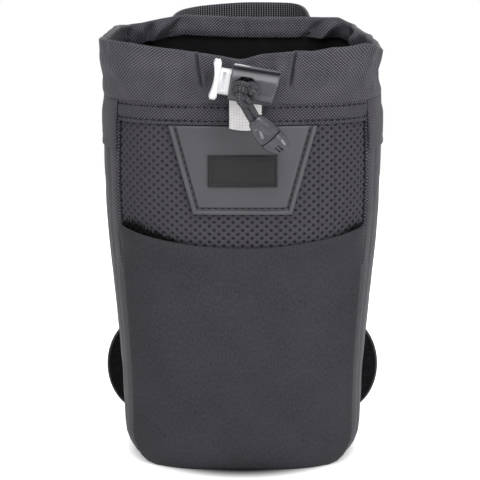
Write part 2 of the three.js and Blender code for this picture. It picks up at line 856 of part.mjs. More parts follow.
function buildCordEnd() {
  const frame = new THREE.Group();
  frame.position.set(cord_end_start_x, knot_middle[1], cord_end_start_z);
  frame.rotation.y = -cord_end_turn_degrees * degree;
  pouch.add(frame);
  const split = cord_end_split_share * cord_end_length;
  const shell = cordEndHalf(0, cord_end_split_share, 0, split - layer_gap / 2);
  const cap = cordEndHalf(cord_end_split_share, 1, split + layer_gap / 2, cord_end_length);
  addPiece('cord_end_shell', shell, black_plastic, frame);
  addPiece('cord_end_cap', cap, black_plastic, frame);
}

// Webbing tab that runs behind the lock and is sewn to the band
function buildTab() {
  const shape = new THREE.Shape();
  const upper_outer = -barrel_back + layer_gap;
  shape.moveTo(-tab_inner_reach, tab_bottom);
  shape.lineTo(-tab_inner_reach - tab_thickness, tab_bottom);
  shape.lineTo(-tab_inner_reach - tab_thickness, band_top);
  shape.lineTo(upper_outer, tab_top);
  shape.lineTo(upper_outer + tab_thickness, tab_top);
  shape.lineTo(-tab_inner_reach, band_top);
  const tab = barAlongX(shape, lock_x - tab_width / 2, lock_x + tab_width / 2);
  addPiece('lock_anchor_tab', tab, tab_webbing);
}

// Handle: ribbed webbing that peels off its sewn ends and bulges behind the collar.
// Each share gives a place across the half span, how far the webbing stands off, and its rise.
const handle_path_shares = [
  [1, 0, 0],
  [0.94, 0, 0],
  [0.87, 0.06, 0.02],
  [0.79, 0.22, 0.25],
  [0.69, 0.48, 0.68],
  [0.53, 0.77, 0.95],
  [0.32, 0.94, 1],
  [0, 1, 1],
];

const handle_anchor_middle = band_top + layer_gap + handle_webbing_width / 2;

function buildHandle() {
  const wall_y = back_reach + layer_gap + handle_webbing_thickness / 2;
  const place = ([across, off, rise], side) => new THREE.Vector3(
    side * across * handle_half_span,
    wall_y + off * handle_bulge,
    handle_anchor_middle + rise * handle_rise,
  );
  const left = handle_path_shares.map((share) => place(share, -1));
  const right = handle_path_shares.slice(0, -1).map((share) => place(share, 1)).reverse();
  const curve = new THREE.CatmullRomCurve3([...left, ...right]);
  const steps = 2 * round_divisions;
  const half_width = handle_webbing_width / 2;
  const half_thickness = handle_webbing_thickness / 2;
  const layer = (offset, height) => {
    const points = [];
    for (let i = 0; i <= steps; i += 1) {
      const middle = curve.getPoint(i / steps);
      const tangent = curve.getTangent(i / steps);
      const across = new THREE.Vector3(-tangent.y, tangent.x, 0).normalize();
      points.push(middle.addScaledVector(across, offset).add(new THREE.Vector3(0, 0, height)));
    }
    return points;
  };
  const outer = [layer(half_thickness, -half_width), layer(half_thickness, half_width)];
  const inner = [layer(-half_thickness, -half_width), layer(-half_thickness, half_width)];
  addPiece('carry_handle', gridSolid(outer, inner, false), black_webbing);
  for (const [side, word] of [[-1, 'left'], [1, 'right']]) {
    const near = handle_half_span + layer_gap;
    const far = near + handle_anchor_length;
    const anchor = block(
      side > 0 ? near : -far,
      side > 0 ? far : -near,
      wall_y - half_thickness,
      wall_y + half_thickness,
      handle_anchor_middle - half_width,
      handle_anchor_middle + half_width,
    );
    addPiece(`handle_anchor_${word}`, anchor, black_webbing);
  }
}

// Belt flap: a neck over the belt and a wide round-ended bar that sticks to the back
const loop_outer = back_reach + layer_gap + hook_thickness;
const hook_outer = loop_outer + layer_gap + hook_thickness;
const flap_closed_y = hook_outer + layer_gap;
const flap_open_y = back_reach + belt_slot_depth;

function flapOutline(inset) {
  const shape = new THREE.Shape();
  const neck = flap_half_width - inset;
  const bar_top = flap_bar_middle + flap_bar_radius - inset;
  const bar_bottom = flap_bar_middle - flap_bar_radius + inset;
  const radius = flap_bar_radius - inset;
  const bar_centre = flap_bar_half_width - flap_bar_radius;
  const fillet_x = flap_half_width + flap_neck_round;
  const fillet_z = flap_bar_middle + flap_bar_radius + flap_neck_round;
  const fillet = flap_neck_round + inset;
  shape.moveTo(-neck, flap_top);
  shape.lineTo(-neck, fillet_z);
  shape.absarc(-fillet_x, fillet_z, fillet, 0, -quarter_turn, true);
  shape.lineTo(-bar_centre, bar_top);
  shape.absarc(-bar_centre, flap_bar_middle, radius, quarter_turn, half_turn + quarter_turn, false);
  shape.lineTo(bar_centre, bar_bottom);
  shape.absarc(bar_centre, flap_bar_middle, radius, -quarter_turn, quarter_turn, false);
  shape.lineTo(fillet_x, bar_top);
  shape.absarc(fillet_x, fillet_z, fillet, -quarter_turn, -half_turn, true);
  shape.lineTo(neck, flap_top);
  return shape;
}

function flapProfile(from, to) {
  const shape = new THREE.Shape();
  const line = [
    [flap_closed_y, flap_top],
    [flap_open_y, belt_slot_top],
    [flap_open_y, belt_slot_bottom],
    [flap_closed_y, belt_slot_bottom - flap_fold_height],
    [flap_closed_y, -cut_overrun],
  ];
  const near = line.map(([y, z]) => new THREE.Vector2(y + from, z));
  const far = line.map(([y, z]) => new THREE.Vector2(y + to, z)).reverse();
  shape.setFromPoints([...near, ...far]);
  return shape;
}

function flapLayer(inset, from, to) {
  const long = flap_bar_half_width + cut_overrun;
  const sheet = barAlongX(flapProfile(from, to), -long, long);
  const far = flap_open_y + flap_bar_radius;
  return overlapOf(sheet, plateAlongY(flapOutline(inset), back_reach, far));
}

function buildFlap() {
  const stiffener_from = flap_face_thickness + layer_gap;
  const outer_from = stiffener_from + flap_stiffener_thickness + layer_gap;
  const outer_to = outer_from + flap_face_thickness;
  const face_inset = flap_binding_width + layer_gap;
  addPiece('flap_inner_face', flapLayer(face_inset, 0, flap_face_thickness), black_webbing);
  const stiffener = flapLayer(flap_stiffener_inset, stiffener_from, outer_from - layer_gap);
  addPiece('flap_stiffener', stiffener, stiff_sheet);
  addPiece('flap_outer_face', flapLayer(face_inset, outer_from, outer_to), ballistic_cloth);
  const hollow_y = flap_open_y + flap_bar_radius + cut_overrun;
  const hollow_outline = flapOutline(flap_binding_width);
  const hollow = plateAlongY(hollow_outline, back_reach - cut_overrun, hollow_y);
  const top_cut = block(
    -flap_half_width + flap_binding_width,
    flap_half_width - flap_binding_width,
    back_reach - cut_overrun,
    hollow_y,
    flap_top - cut_overrun,
    flap_top + cut_overrun,
  );
  const rim = flapLayer(0, -layer_gap / 2, outer_to + layer_gap / 2);
  addPiece('flap_binding', cut(rim, hollow, top_cut), black_webbing);
}

function buildFlapFixings() {
  const loop_inner = back_reach + layer_gap;
  const loop = block(-loop_half_width, loop_half_width, loop_inner, loop_outer, loop_bottom, loop_top);
  addPiece('loop_patch', loop, hook_cloth);
  const hook = block(
    -loop_half_width + hook_inset,
    loop_half_width - hook_inset,
    loop_outer + layer_gap,
    hook_outer,
    loop_bottom + hook_inset,
    loop_top - hook_inset,
  );
  addPiece('hook_patch', hook, hook_cloth);
  const strip_inner = back_reach + 2 * layer_gap + band_thickness;
  const strip_bottom = flap_top + strip_gap;
  const strip = block(
    -flap_half_width,
    flap_half_width,
    strip_inner,
    strip_inner + strip_thickness,
    strip_bottom,
    strip_bottom + strip_height,
  );
  addPiece('flap_mount_strip', strip, black_webbing);
}

buildFront();
buildSides();
buildBack();
buildFloor();
buildPatch();
buildCollar();
buildBarrel();
buildPlunger();
buildSpring();
buildDrawcord();
buildKnot();
buildTails();
buildCordEnd();
buildTab();
buildHandle();
buildFlap();
buildFlapFixings();

export default pouch;
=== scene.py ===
import math
import bmesh
import bpy
import numpy as np
from mathutils import Matrix, Vector, noise


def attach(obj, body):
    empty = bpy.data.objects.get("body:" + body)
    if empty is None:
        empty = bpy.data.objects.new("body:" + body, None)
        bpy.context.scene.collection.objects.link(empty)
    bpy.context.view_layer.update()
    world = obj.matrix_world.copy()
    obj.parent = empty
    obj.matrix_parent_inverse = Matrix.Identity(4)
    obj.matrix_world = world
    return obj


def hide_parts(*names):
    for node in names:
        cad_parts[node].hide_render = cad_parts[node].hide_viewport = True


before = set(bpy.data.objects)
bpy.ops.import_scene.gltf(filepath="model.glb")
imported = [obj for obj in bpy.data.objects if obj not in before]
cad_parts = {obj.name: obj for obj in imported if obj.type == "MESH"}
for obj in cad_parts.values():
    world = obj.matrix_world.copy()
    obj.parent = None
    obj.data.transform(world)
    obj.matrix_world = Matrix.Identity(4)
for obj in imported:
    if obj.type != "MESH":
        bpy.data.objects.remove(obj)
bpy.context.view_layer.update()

# Camera: a long lens in front of the pouch and ten degrees above it, as the photograph was taken.
# A millimetre is the unit of every size below; Blender itself works in metres.
mm = 0.001
camera_place = np.array([-1.2, -1335.25, 339.24])
camera_tilt_degrees = 10.0
camera_data = bpy.data.cameras.new("camera")
camera_data.lens = 208.3
camera_data.sensor_width = 36.0
camera_data.clip_start = 0.05
camera_data.clip_end = 50.0
camera = bpy.data.objects.new("camera", camera_data)
camera.location = Vector(camera_place * mm)
camera.rotation_euler = (math.radians(90.0 - camera_tilt_degrees), 0.0, 0.0)
bpy.context.collection.objects.link(camera)
bpy.context.scene.camera = camera

# Cord tails: the two ends of the drawcord below the knot, of braided polyester cord.
# Each runs out of the knot and into the moulded cord end, where it is tied off. The cord is
# sold as 2.5 mm, and its loose braid is drawn at the 2.9 mm that the photograph shows.
cord_diameter = 2.9
knot_middle = np.array([1.3, -82.1, 186.7])
cord_end_start = np.array([5.4, -82.1, 174.0])
cord_end_turn = math.radians(40.5)
cord_end_length = 20.0
tail_spread = 2.75
tail_route = [(0.2, 187.0), (0.2, 185.2), (0.8, 182.4), (2.8, 178.6), (5.2, 174.4)]
tail_inside_end = 18.4
both_sides = ((-1, "left"), (1, "right"))


def lengths_along(points):
    """The length of a line of points up to each of them."""
    steps = np.linalg.norm(np.diff(points, axis=0), axis=1)
    return np.concatenate([[0], np.cumsum(steps)])


def at_lengths(line, places):
    """Points at the given lengths along a line."""
    along = lengths_along(line[:, :3])
    return np.stack([np.interp(places, along, column) for column in line.T], axis=1)


def smooth_line(points, step):
    """Points at an even step along a smooth curve through the given points."""
    points = [np.array(p, float) for p in points]
    ends = [2 * points[0] - points[1]] + points + [2 * points[-1] - points[-2]]
    dense = []
    for i in range(1, len(ends) - 2):
        a, b, c, d = ends[i - 1:i + 3]
        for t in np.linspace(0, 1, 24, endpoint=False):
            dense.append(0.5 * (2 * b + (c - a) * t + (2 * a - 5 * b + 4 * c - d) * t ** 2
                                + (3 * b - a - 3 * c + d) * t ** 3))
    dense = np.array(dense + [points[-1]])
    along = lengths_along(dense)
    return at_lengths(dense, np.linspace(0, along[-1], max(2, int(round(along[-1] / step))) + 1))


def unit(vectors):
    return vectors / np.maximum(np.linalg.norm(vectors, axis=-1, keepdims=True), 1e-12)


def loop_tangents(loop):
    return unit(np.roll(loop, -1, axis=0) - np.roll(loop, 1, axis=0))


def eased(loop, times):
    """A closed loop of points, each blended a number of times with its neighbours."""
    for _ in range(times):
        loop = (np.roll(loop, 1, axis=0) + 2 * loop + np.roll(loop, -1, axis=0)) / 4
    return loop


def into_scene(thing):
    bpy.context.collection.objects.link(thing)
    return thing


def mesh_piece(name, vertices, faces, smooth=True):
    """An object made of faces between places in millimetres."""
    mesh = bpy.data.meshes.new(name)
    mesh.from_pydata((np.asarray(vertices, float).reshape(-1, 3) * mm).tolist(), [], faces)
    mesh.polygons.foreach_set("use_smooth", [smooth] * len(faces))
    return into_scene(bpy.data.objects.new(name, mesh))


def grid_piece(name, points, wrap_rows=False, wrap_columns=False, uv=None, close_ends=False):
    """A smooth mesh from rows of points in millimetres, with its UV map in metres of cloth."""
    points = np.asarray(points, float)
    rows, columns = points.shape[:2]
    if uv is None:
        across = np.linalg.norm(np.diff(points, axis=1), axis=2).mean(axis=0)
        up = np.linalg.norm(np.diff(points, axis=0), axis=2)[:, columns // 2]
        across = np.concatenate([[0], np.cumsum(across)])
        up = np.concatenate([[0], np.cumsum(up)])
        uv = np.stack(np.meshgrid(across - across[-1] / 2, up), axis=2) * mm
    faces, corners = [], []
    for r in range(rows if wrap_rows else rows - 1):
        for c in range(columns if wrap_columns else columns - 1):
            r2, c2 = (r + 1) % rows, (c + 1) % columns
            faces.append((r * columns + c, r * columns + c2, r2 * columns + c2, r2 * columns + c))
            corners.append(((r, c), (r, c + 1), (r + 1, c + 1), (r + 1, c)))
    if close_ends:
        half = rows // 2
        for c, flip in ((0, False), (columns - 1, True)):
            for r in range(half - 1):
                ring = (r, r + 1, rows - 2 - r, rows - 1 - r)
                ring = ring if flip else ring[::-1]
                faces.append(tuple(q * columns + c for q in ring))
                corners.append(tuple((q, c) for q in ring))
    piece = mesh_piece(name, points, faces)
    layer = piece.data.uv_layers.new(name="cloth")
    wrapped_u = uv[:, -1:] + (uv[:, 1:2] - uv[:, :1])
    uv = np.concatenate([uv, wrapped_u], axis=1)
    uv = np.concatenate([uv, uv[-1:] + (uv[1:2] - uv[:1])], axis=0)
    flat = [tuple(uv[r, c]) for face in corners for r, c in face]
    layer.data.foreach_set("uv", np.array(flat, np.float32).ravel())
    return piece


def face_outwards(piece, close_holes=False):
    """Turns all faces of a piece outwards, and first closes its open ends if asked."""
    work = bmesh.new()
    work.from_mesh(piece.data)
    if close_holes:
        bmesh.ops.holes_fill(work, edges=[e for e in work.edges if e.is_boundary])
    bmesh.ops.recalc_face_normals(work, faces=work.faces)
    work.to_mesh(piece.data)
    work.free()
    return piece


def braided_cord(name, path, diameter, sides=24):
    """A tube along a path whose skin rises and falls with the strands of its braid."""
    path = np.asarray(path, float)
    tangents = unit(np.gradient(path, axis=0))
    normal = unit(np.cross(tangents[0], [0.3, 0.2, 0.9]))
    along = lengths_along(path)
    turn = np.linspace(0, 2 * math.pi, sides, endpoint=False)
    braid_pitch = 1.5
    rows = []
    for i, tangent in enumerate(tangents):
        normal = unit(normal - np.dot(normal, tangent) * tangent)
        other = np.cross(tangent, normal)
        wave = np.cos(4 * turn + 2 * math.pi * along[i] / braid_pitch)
        wave = wave * np.cos(4 * turn - 2 * math.pi * along[i] / braid_pitch)
        end_gap = min(along[i], along[-1] - along[i])
        taper = math.sqrt(min(1.0, 0.15 + end_gap / (0.5 * diameter)))
        radius = diameter / 2 * (1 + 0.17 * wave) * taper
        rows.append(path[i] + radius[:, None] * (np.cos(turn)[:, None] * normal
                                                 + np.sin(turn)[:, None] * other))
    rows = [np.repeat(path[:1], sides, axis=0)] + rows + [np.repeat(path[-1:], sides, axis=0)]
    around = np.linspace(0, math.pi * diameter, sides, endpoint=False)
    up = np.concatenate([[0], along, [along[-1]]])
    uv = np.stack(np.meshgrid(around, up), axis=2) * mm
    return face_outwards(grid_piece(name, rows, wrap_columns=True, uv=uv))


def add_node(tree, kind, settings=(), links=()):
    """Adds one node, sets its options and inputs, and links its inputs.

    Each link comes from a socket, or from the first output of a node.
    """
    node = tree.nodes.new("ShaderNode" + kind)
    for name, value in dict(settings).items():
        if isinstance(name, str) and hasattr(node, name):
            setattr(node, name, value)
        else:
            node.inputs[name].default_value = value
    for name, source in dict(links).items():
        tree.links.new(getattr(source, "outputs", [source])[0], node.inputs[name])
    return node


def colour(hex_value):
    """Linear colour of an sRGB hex value."""
    parts = [int(hex_value[i:i + 2], 16) / 255 for i in (1, 3, 5)]
    linear = [p / 12.92 if p <= 0.04045 else ((p + 0.055) / 1.055) ** 2.4 for p in parts]
    return (*linear, 1.0)


def new_material(name, roughness, ior=1.5, specular=0.5, sheen=(0.0, 0.5), metallic=0.0):
    """A material with one surface shader; returns it, its node tree and the shader."""
    material = bpy.data.materials.new(name)
    material.use_nodes = True
    tree = material.node_tree
    shader = tree.nodes["Principled BSDF"]
    for socket, value in (("Roughness", roughness), ("IOR", ior), ("Specular IOR Level", specular),
                          ("Sheen Weight", sheen[0]), ("Sheen Roughness", sheen[1]),
                          ("Metallic", metallic)):
        shader.inputs[socket].default_value = value
    return material, tree, shader


def two_tone(tree, factor, dark, light, shader=None):
    """A colour that runs from dark to light with a factor; a shader given gets it."""
    ramp = add_node(tree, "ValToRGB", {}, {"Fac": factor})
    for stop, tone in zip(ramp.color_ramp.elements, (dark, light)):
        stop.color = colour(tone)
    if shader:
        tree.links.new(ramp.outputs["Color"], shader.inputs["Base Color"])
    return ramp


def raise_surface(tree, shader, height, depth, strength=1.0):
    """Lifts a surface by a height pattern, to a depth in millimetres."""
    bump = add_node(tree, "Bump", {"Strength": strength, "Distance": depth * mm},
                    {"Height": height})
    tree.links.new(bump.outputs["Normal"], shader.inputs["Normal"])


def polyester_braid():
    """Braided polyester cord: matt black yarn whose crossings catch a little light."""
    yarn_width = 0.7  # real yarns: 0.5 mm; drawn wider to show
    material, tree, shader = new_material(
        "braided_polyester_cord", roughness=0.6, specular=0.25, sheen=(0.02, 0.4))
    place = add_node(tree, "UVMap")
    turned = add_node(tree, "Mapping", {
        "Rotation": (0, 0, math.radians(45)), "Scale": (1 / (yarn_width * mm),) * 3},
        {"Vector": place})
    plaits = add_node(tree, "TexChecker", {"Scale": 1.0}, {"Vector": turned})
    fibres = add_node(tree, "TexNoise", {"Scale": 1 / (0.25 * mm), "Detail": 3.0},
                      {"Vector": place})
    mixed = add_node(tree, "Math", {"operation": "MULTIPLY_ADD", 1: 0.4},
                     {0: plaits.outputs["Fac"], 2: fibres})
    spread = add_node(tree, "MapRange", {"From Min": 0.45, "From Max": 1.05}, {"Value": mixed})
    two_tone(tree, spread, "#070708", "#5e5c63", shader)
    raise_surface(tree, shader, mixed, 0.12, 0.8)
    return material


cord_sheath = polyester_braid()
into_end = np.array([math.sin(cord_end_turn), 0.0, -math.cos(cord_end_turn)])
beside_end = np.array([math.cos(cord_end_turn), 0.0, math.sin(cord_end_turn)])
tail_pieces = []
middle_line = [(x, knot_middle[1], z) for x, z in tail_route]
middle_line += [cord_end_start + inside * into_end for inside in (3.0, 9.0, tail_inside_end)]
middle_line = smooth_line(middle_line, 0.3)
heading = unit(np.gradient(middle_line, axis=0))
sideways = np.stack([-heading[:, 2], 0 * heading[:, 0], heading[:, 0]], axis=1)
inside = np.clip((middle_line - cord_end_start) @ into_end / tail_inside_end, 0, 1)
for side, word in both_sides:
    path = middle_line + side * tail_spread / 2 * (1 - 0.45 * inside)[:, None] * sideways
    tail = braided_cord(f"tail_{word}", path, cord_diameter)
    tail.data.materials.append(cord_sheath)
    length = float(np.linalg.norm(np.diff(path, axis=0), axis=1).sum())
    tail_pieces.append((tail, path, length))

# Front panel: knitted polyester air mesh, a springy cloth with staggered oval holes.
# It is one piece from the floor to the collar, and the pocket hides its lower part.
floor_half_width, side_half_width, rim_half_width = 57.5, 66.5, 68.0
floor_front, band_front, rim_front = 48.0, 59.0, 60.0
back_face = 56.0
rear_corner_radius = 16.0
floor_round_height = 17.0
floor_round_side = 13.5
floor_round_front = 3.5
side_full_height = 152.0
band_bottom = 168.0
band_top = 178.0
rim_height = 205.0
mesh_depth = 1.5
mesh_inner_depth = 3.1
mesh_fine_from = 101.0
hole_pitch_across = 4.4
hole_pitch_up = 3.8
hole_depth = 0.75
pocket_top_centre = 110.0
pocket_hem_rise = 9.0
seam_roll = 1.3


def smooth_rise(value, low, high):
    t = np.clip((value - low) / (high - low), 0, 1)
    return t * t * (3 - 2 * t)


def mix(a, b, t):
    return a + (b - a) * t


wall_faces = ("front", "seam_arc", "side", "rear_corner", "back")
face_steps = (12, 6, 8, 6, 11)
place_knots = np.arange(-5, 6)
column_knots = np.concatenate([[0], np.cumsum(face_steps[::-1] + face_steps)])
swell_heights = np.linspace(floor_round_height, band_top, 33)
swell = np.zeros((len(swell_heights), column_knots[-1]))


def between(field, row, column):
    """A value of a ring-shaped field between its points, blended smoothly."""
    parts = []
    for place in np.broadcast_arrays(row, column):
        low = np.floor(place).astype(int)
        t = place - low
        parts.append((low, ((1 - t) ** 3, 3 * t ** 3 - 6 * t ** 2 + 4,
                            -3 * t ** 3 + 3 * t ** 2 + 3 * t + 1, t ** 3)))
    total = 0.0
    for i in range(4):
        r = np.clip(parts[0][0] + i - 1, 0, len(field) - 1)
        for j in range(4):
            c = (parts[1][0] + j - 1) % field.shape[1]
            total = total + field[r, c] * parts[0][1][i] * parts[1][1][j] / 36
    return total


def wall_swell(face, share, z, side):
    """How far the settled cloth stands proud of the plain wall at a place on it."""
    if face == "back":
        place = np.where(share < 0, -(5 + share), 5 - share) * side
    else:
        place = (wall_faces.index(face) + np.abs(share)) * np.where(share < 0, -side, side)
    column = np.interp(place, place_knots, column_knots)
    row = np.interp(z, swell_heights, np.arange(len(swell_heights)))
    return between(swell, row, column)


def bag_point(face, share, z, turn, depth, side=1.0):
    """A place on the bag's wall; a turn above zero lies on the rounding to the floor."""
    share, z, turn, depth = np.broadcast_arrays(share, z, turn, depth)
    reach_rise = np.clip((z - floor_round_height) / (band_bottom - floor_round_height), 0, 1)
    flare = smooth_rise(z, band_top, rim_height)
    half = mix(floor_half_width, side_half_width,
               smooth_rise(z, floor_round_height, side_full_height))
    half = mix(half, rim_half_width, flare)
    front = mix(floor_front, band_front, np.sin(reach_rise * math.pi / 2))
    front = mix(front, rim_front, flare)
    draw = 1 - np.cos(turn)
    power = mix(3.0, 5.0, np.maximum(flare, 0.4 * draw))
    seam_share = mix(0.93, 0.883, reach_rise)
    seam_front = (front - floor_round_front * draw) * (1 - seam_share ** power) ** (1 / power)
    seam = np.arctan2(seam_share * (half - floor_round_side * draw), seam_front)
    if face == "across":
        straight = np.arctan2(share, front * (1 - np.abs(share / half) ** power) ** (1 / power))
        depth = depth - wall_swell("front", np.clip(straight / seam, -1, 1), z, side)
    else:
        depth = depth - wall_swell(face, share, z, side)
    half = half - depth - (floor_round_side - depth) * draw
    front = front - depth - (floor_round_front - depth) * draw
    back = back_face - depth - (floor_round_front - depth) * draw
    corner = rear_corner_radius - depth * (1 - draw)
    height = np.maximum(z - (floor_round_height - depth) * np.sin(turn), 0.0)
    if face in ("front", "seam_arc"):
        angle = share * seam if face == "front" else seam + (math.pi / 2 - seam) * share
        width_part = np.abs(np.sin(angle) / half) ** power
        radius = (width_part + np.abs(np.cos(angle) / front) ** power) ** (-1 / power)
        x, y = radius * np.sin(angle), -radius * np.cos(angle)
    elif face == "side":
        x, y = half, (back - corner) * share
    elif face == "rear_corner":
        angle = share * math.pi / 2
        x = half - corner + corner * np.cos(angle)
        y = back - corner + corner * np.sin(angle)
    elif face == "back":
        x, y = share * (half - corner), back
    else:
        x, y = share, -front * (1 - np.abs(share / half) ** power) ** (1 / power)
    return np.stack([x * side, y + 0 * x, height + 0 * x], axis=-1)


def wall_grid(heights, turns, columns, depth, side=1.0):
    """Rows of points round part of the bag; columns is a list of a face and its shares."""
    count = sum(len(shares) for _, shares in columns)
    heights = np.broadcast_to(heights if np.ndim(heights) == 2 else heights[:, None],
                              (len(turns), count))
    depth = np.broadcast_to(depth, (len(turns), count))
    blocks, start = [], 0
    for face, shares in columns:
        part = slice(start, start + len(shares))
        blocks.append(bag_point(face, np.asarray(shares)[None], heights[:, part],
                                turns[:, None], depth[:, part], side))
        start += len(shares)
    return np.concatenate(blocks, axis=1)


settling_frames = 20


def settle_cloth(points, held, growth, pressure, most):
    """Lets a ring of cloth settle between its seams, with a little air pressed against it.

    The cloth is cut larger by the growth, so it buckles as it settles. What comes back is
    how far each point has moved outwards, and no point moves further than most.
    """
    sheet = grid_piece("settling_cloth", points, wrap_columns=True)
    sewn = sheet.vertex_groups.new(name="sewn")
    for index, weight in enumerate(held.ravel()):
        if weight > 0:
            sewn.add([index], float(weight), "ADD")
    cloth = sheet.modifiers.new("cloth", "CLOTH")
    cloth.settings.vertex_group_mass = "sewn"
    cloth.settings.pin_stiffness = 5.0
    cloth.settings.use_pressure = True
    cloth.settings.uniform_pressure_force = pressure
    cloth.settings.shrink_min = -growth
    cloth.settings.mass = 0.05
    cloth.settings.effector_weights.gravity = 0.0
    cloth.point_cache.frame_end = settling_frames
    for step in range(settling_frames):
        bpy.context.scene.frame_set(step + 1)
    settled = sheet.evaluated_get(bpy.context.evaluated_depsgraph_get()).data
    places = np.empty(points.size)
    settled.vertices.foreach_get("co", places)
    around = np.roll(points, -1, axis=1) - np.roll(points, 1, axis=1)
    out = unit(np.cross(around, np.gradient(points, axis=0)))
    moved = ((places.reshape(points.shape) / mm - points) * out).sum(axis=2)
    bpy.data.objects.remove(sheet)
    bpy.context.scene.frame_set(1)
    return moved * min(1.0, most / np.abs(moved).max())


ring_places = np.interp(np.arange(column_knots[-1]), column_knots, place_knots)
ring = []
for place in ring_places:
    number = min(4, int(abs(place) + 1e-9))
    share = abs(place) - number if number < 4 else 5 - abs(place)
    ring.append(bag_point(wall_faces[number], share, swell_heights, 0.0, 0.0,
                          -1.0 if place < 0 else 1.0))
ring = np.stack(ring, axis=1)
held = np.zeros(ring.shape[:2])
yoke_seam_height = 157.0
held[np.argmin(np.abs(swell_heights - yoke_seam_height))] = 0.4
held[:, np.abs(np.abs(ring_places) - 1) < 0.01] = 1.0
held[:, np.abs(ring_places) > 3.95] = 1.0
held[0] = held[-1] = 1.0
swell[:] = settle_cloth(ring, held, 0.003, 1.5, 1.7)


def fit(piece, material, node, body="pouch"):
    """Gives a piece its finish, the solid that it stands for and the body that it moves with."""
    piece.data.materials.append(material)
    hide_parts(node)
    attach(piece, body)


def sewn_panel(name, outer, inner, uv=None):
    """A closed cloth panel between an outer and an inner grid of points."""
    return face_outwards(grid_piece(name, np.concatenate([outer, inner[::-1]]), wrap_rows=True,
                                    uv=uv, close_ends=True))


def wall_panel(name, cut, outer_depth, inner_depth, side=1.0, uv=None):
    """A closed panel of the wall between two depths; the left side is seen mirrored."""
    step = 1 if side > 0 else -1
    outer, inner = (wall_grid(*cut, depth, side)[:, ::step]
                    for depth in (outer_depth, inner_depth))
    return sewn_panel(name, outer, inner, uv)


def close_edges(count, edge_share):
    """Shares from -1 to 1 that lie closer together near both ends."""
    steps = edge_share * np.array([0.0, 0.12, 0.3, 0.55, 0.8])
    middle = np.linspace(-1 + edge_share, 1 - edge_share, count)
    return np.concatenate([-1 + steps, middle, 1 - steps[::-1]])


def roll_down(distance, radius):
    """How far a turned edge drops, by its distance from the fold."""
    t = np.clip(1 - distance / radius, 0, 1)
    return radius * (1 - np.sqrt(1 - t * t))


def arc_lengths(points):
    """How far each point lies from the start of its row."""
    steps = np.linalg.norm(np.diff(points, axis=1), axis=2)
    return np.concatenate([np.zeros((len(points), 1)), np.cumsum(steps, axis=1)], axis=1)


def gap_to_sides(points):
    """How far each point lies from the nearer end of its row."""
    from_left = arc_lengths(points)
    return np.minimum(from_left, from_left[:, -1:] - from_left)


def waves(points, length, seed):
    """Soft random waves of about one millimetre, of a given length, over places on cloth."""
    shift = Vector((seed * 3.7, seed * 1.3, seed * 2.1))
    flat = points.reshape(-1, 3) / length
    return np.array([noise.noise(Vector(p) + shift) for p in flat]).reshape(points.shape[:-1])


def knitted_air_mesh():
    """Knitted polyester: matt looped yarn, and holes that look down on a dark backing and are
    painted darker still, as painted shade deep in them.

    The painted hole shade is weaker at the left, where the cloth is stretched. Where the pocket's
    hem stands open, the mesh is painted near black in streaks: a painted shadow of the gap under
    it.
    """
    material, tree, shader = new_material("knitted_air_mesh", roughness=0.75, specular=0.12,
                                          sheen=(0.02, 0.4))
    place = add_node(tree, "UVMap")
    parts = add_node(tree, "SeparateXYZ", {}, {"Vector": place})
    turns = []
    for axis, pitch in (("X", hole_pitch_across), ("Y", hole_pitch_up)):
        turns.append(add_node(tree, "Math",
                              {"operation": "MULTIPLY", 1: 2 * math.pi / (pitch * mm)},
                              {0: parts.outputs[axis]}))
    rings = [add_node(tree, "Math", {"operation": "COSINE"}, {0: turn}) for turn in turns]
    lattice = add_node(tree, "Math", {"operation": "MULTIPLY"}, {0: rings[0], 1: rings[1]})
    # Painted shade: the holes are painted darker than their backing alone, for the shade deep in
    # them.
    holes = add_node(tree, "MapRange",
                     {"interpolation_type": "SMOOTHSTEP", "From Min": 0.15, "From Max": 0.75},
                     {"Value": lattice})
    flatter = add_node(tree, "MapRange", {
        "From Min": -60 * mm, "From Max": -10 * mm, "To Min": 0.5}, {"Value": parts.outputs["X"]})
    holes = add_node(tree, "Math", {"operation": "MULTIPLY"},
                     {0: holes.outputs["Result"], 1: flatter})
    loop_size = 0.9  # real loops: 0.5 mm; drawn larger to show
    loops = add_node(tree, "TexNoise", {"Scale": 1 / (loop_size * mm), "Detail": 3.0},
                     {"Vector": place})
    yarn = two_tone(tree, loops, "#37353a", "#4f4d54")
    # Painted shadow under the pocket's open hem, read from a point attribute of the mesh.
    hem_shade = add_node(tree, "Attribute", {"attribute_name": "painted_hem_shadow"})
    shown = yarn.outputs["Color"]
    for share, tone in ((holes, "#232226"), (hem_shade.outputs["Fac"], "#060607")):
        mixed = add_node(tree, "Mix", {"data_type": "RGBA"}, {"Factor": share})
        mixed.inputs[7].default_value = colour(tone)
        tree.links.new(shown, mixed.inputs[6])
        shown = mixed.outputs[2]
    tree.links.new(shown, shader.inputs["Base Color"])
    raise_surface(tree, shader, loops, 0.12, 0.7)
    return material


def from_floor(heights):
    """Heights and turns of rows that come from under the floor and go on up the wall."""
    heights = np.asarray(heights)
    under = np.radians([90.0, 76, 62, 48, 34, 18])
    low = np.full((len(under), *heights.shape[1:]), floor_round_height)
    return np.concatenate([low, heights]), np.concatenate([under, np.zeros(len(heights))])


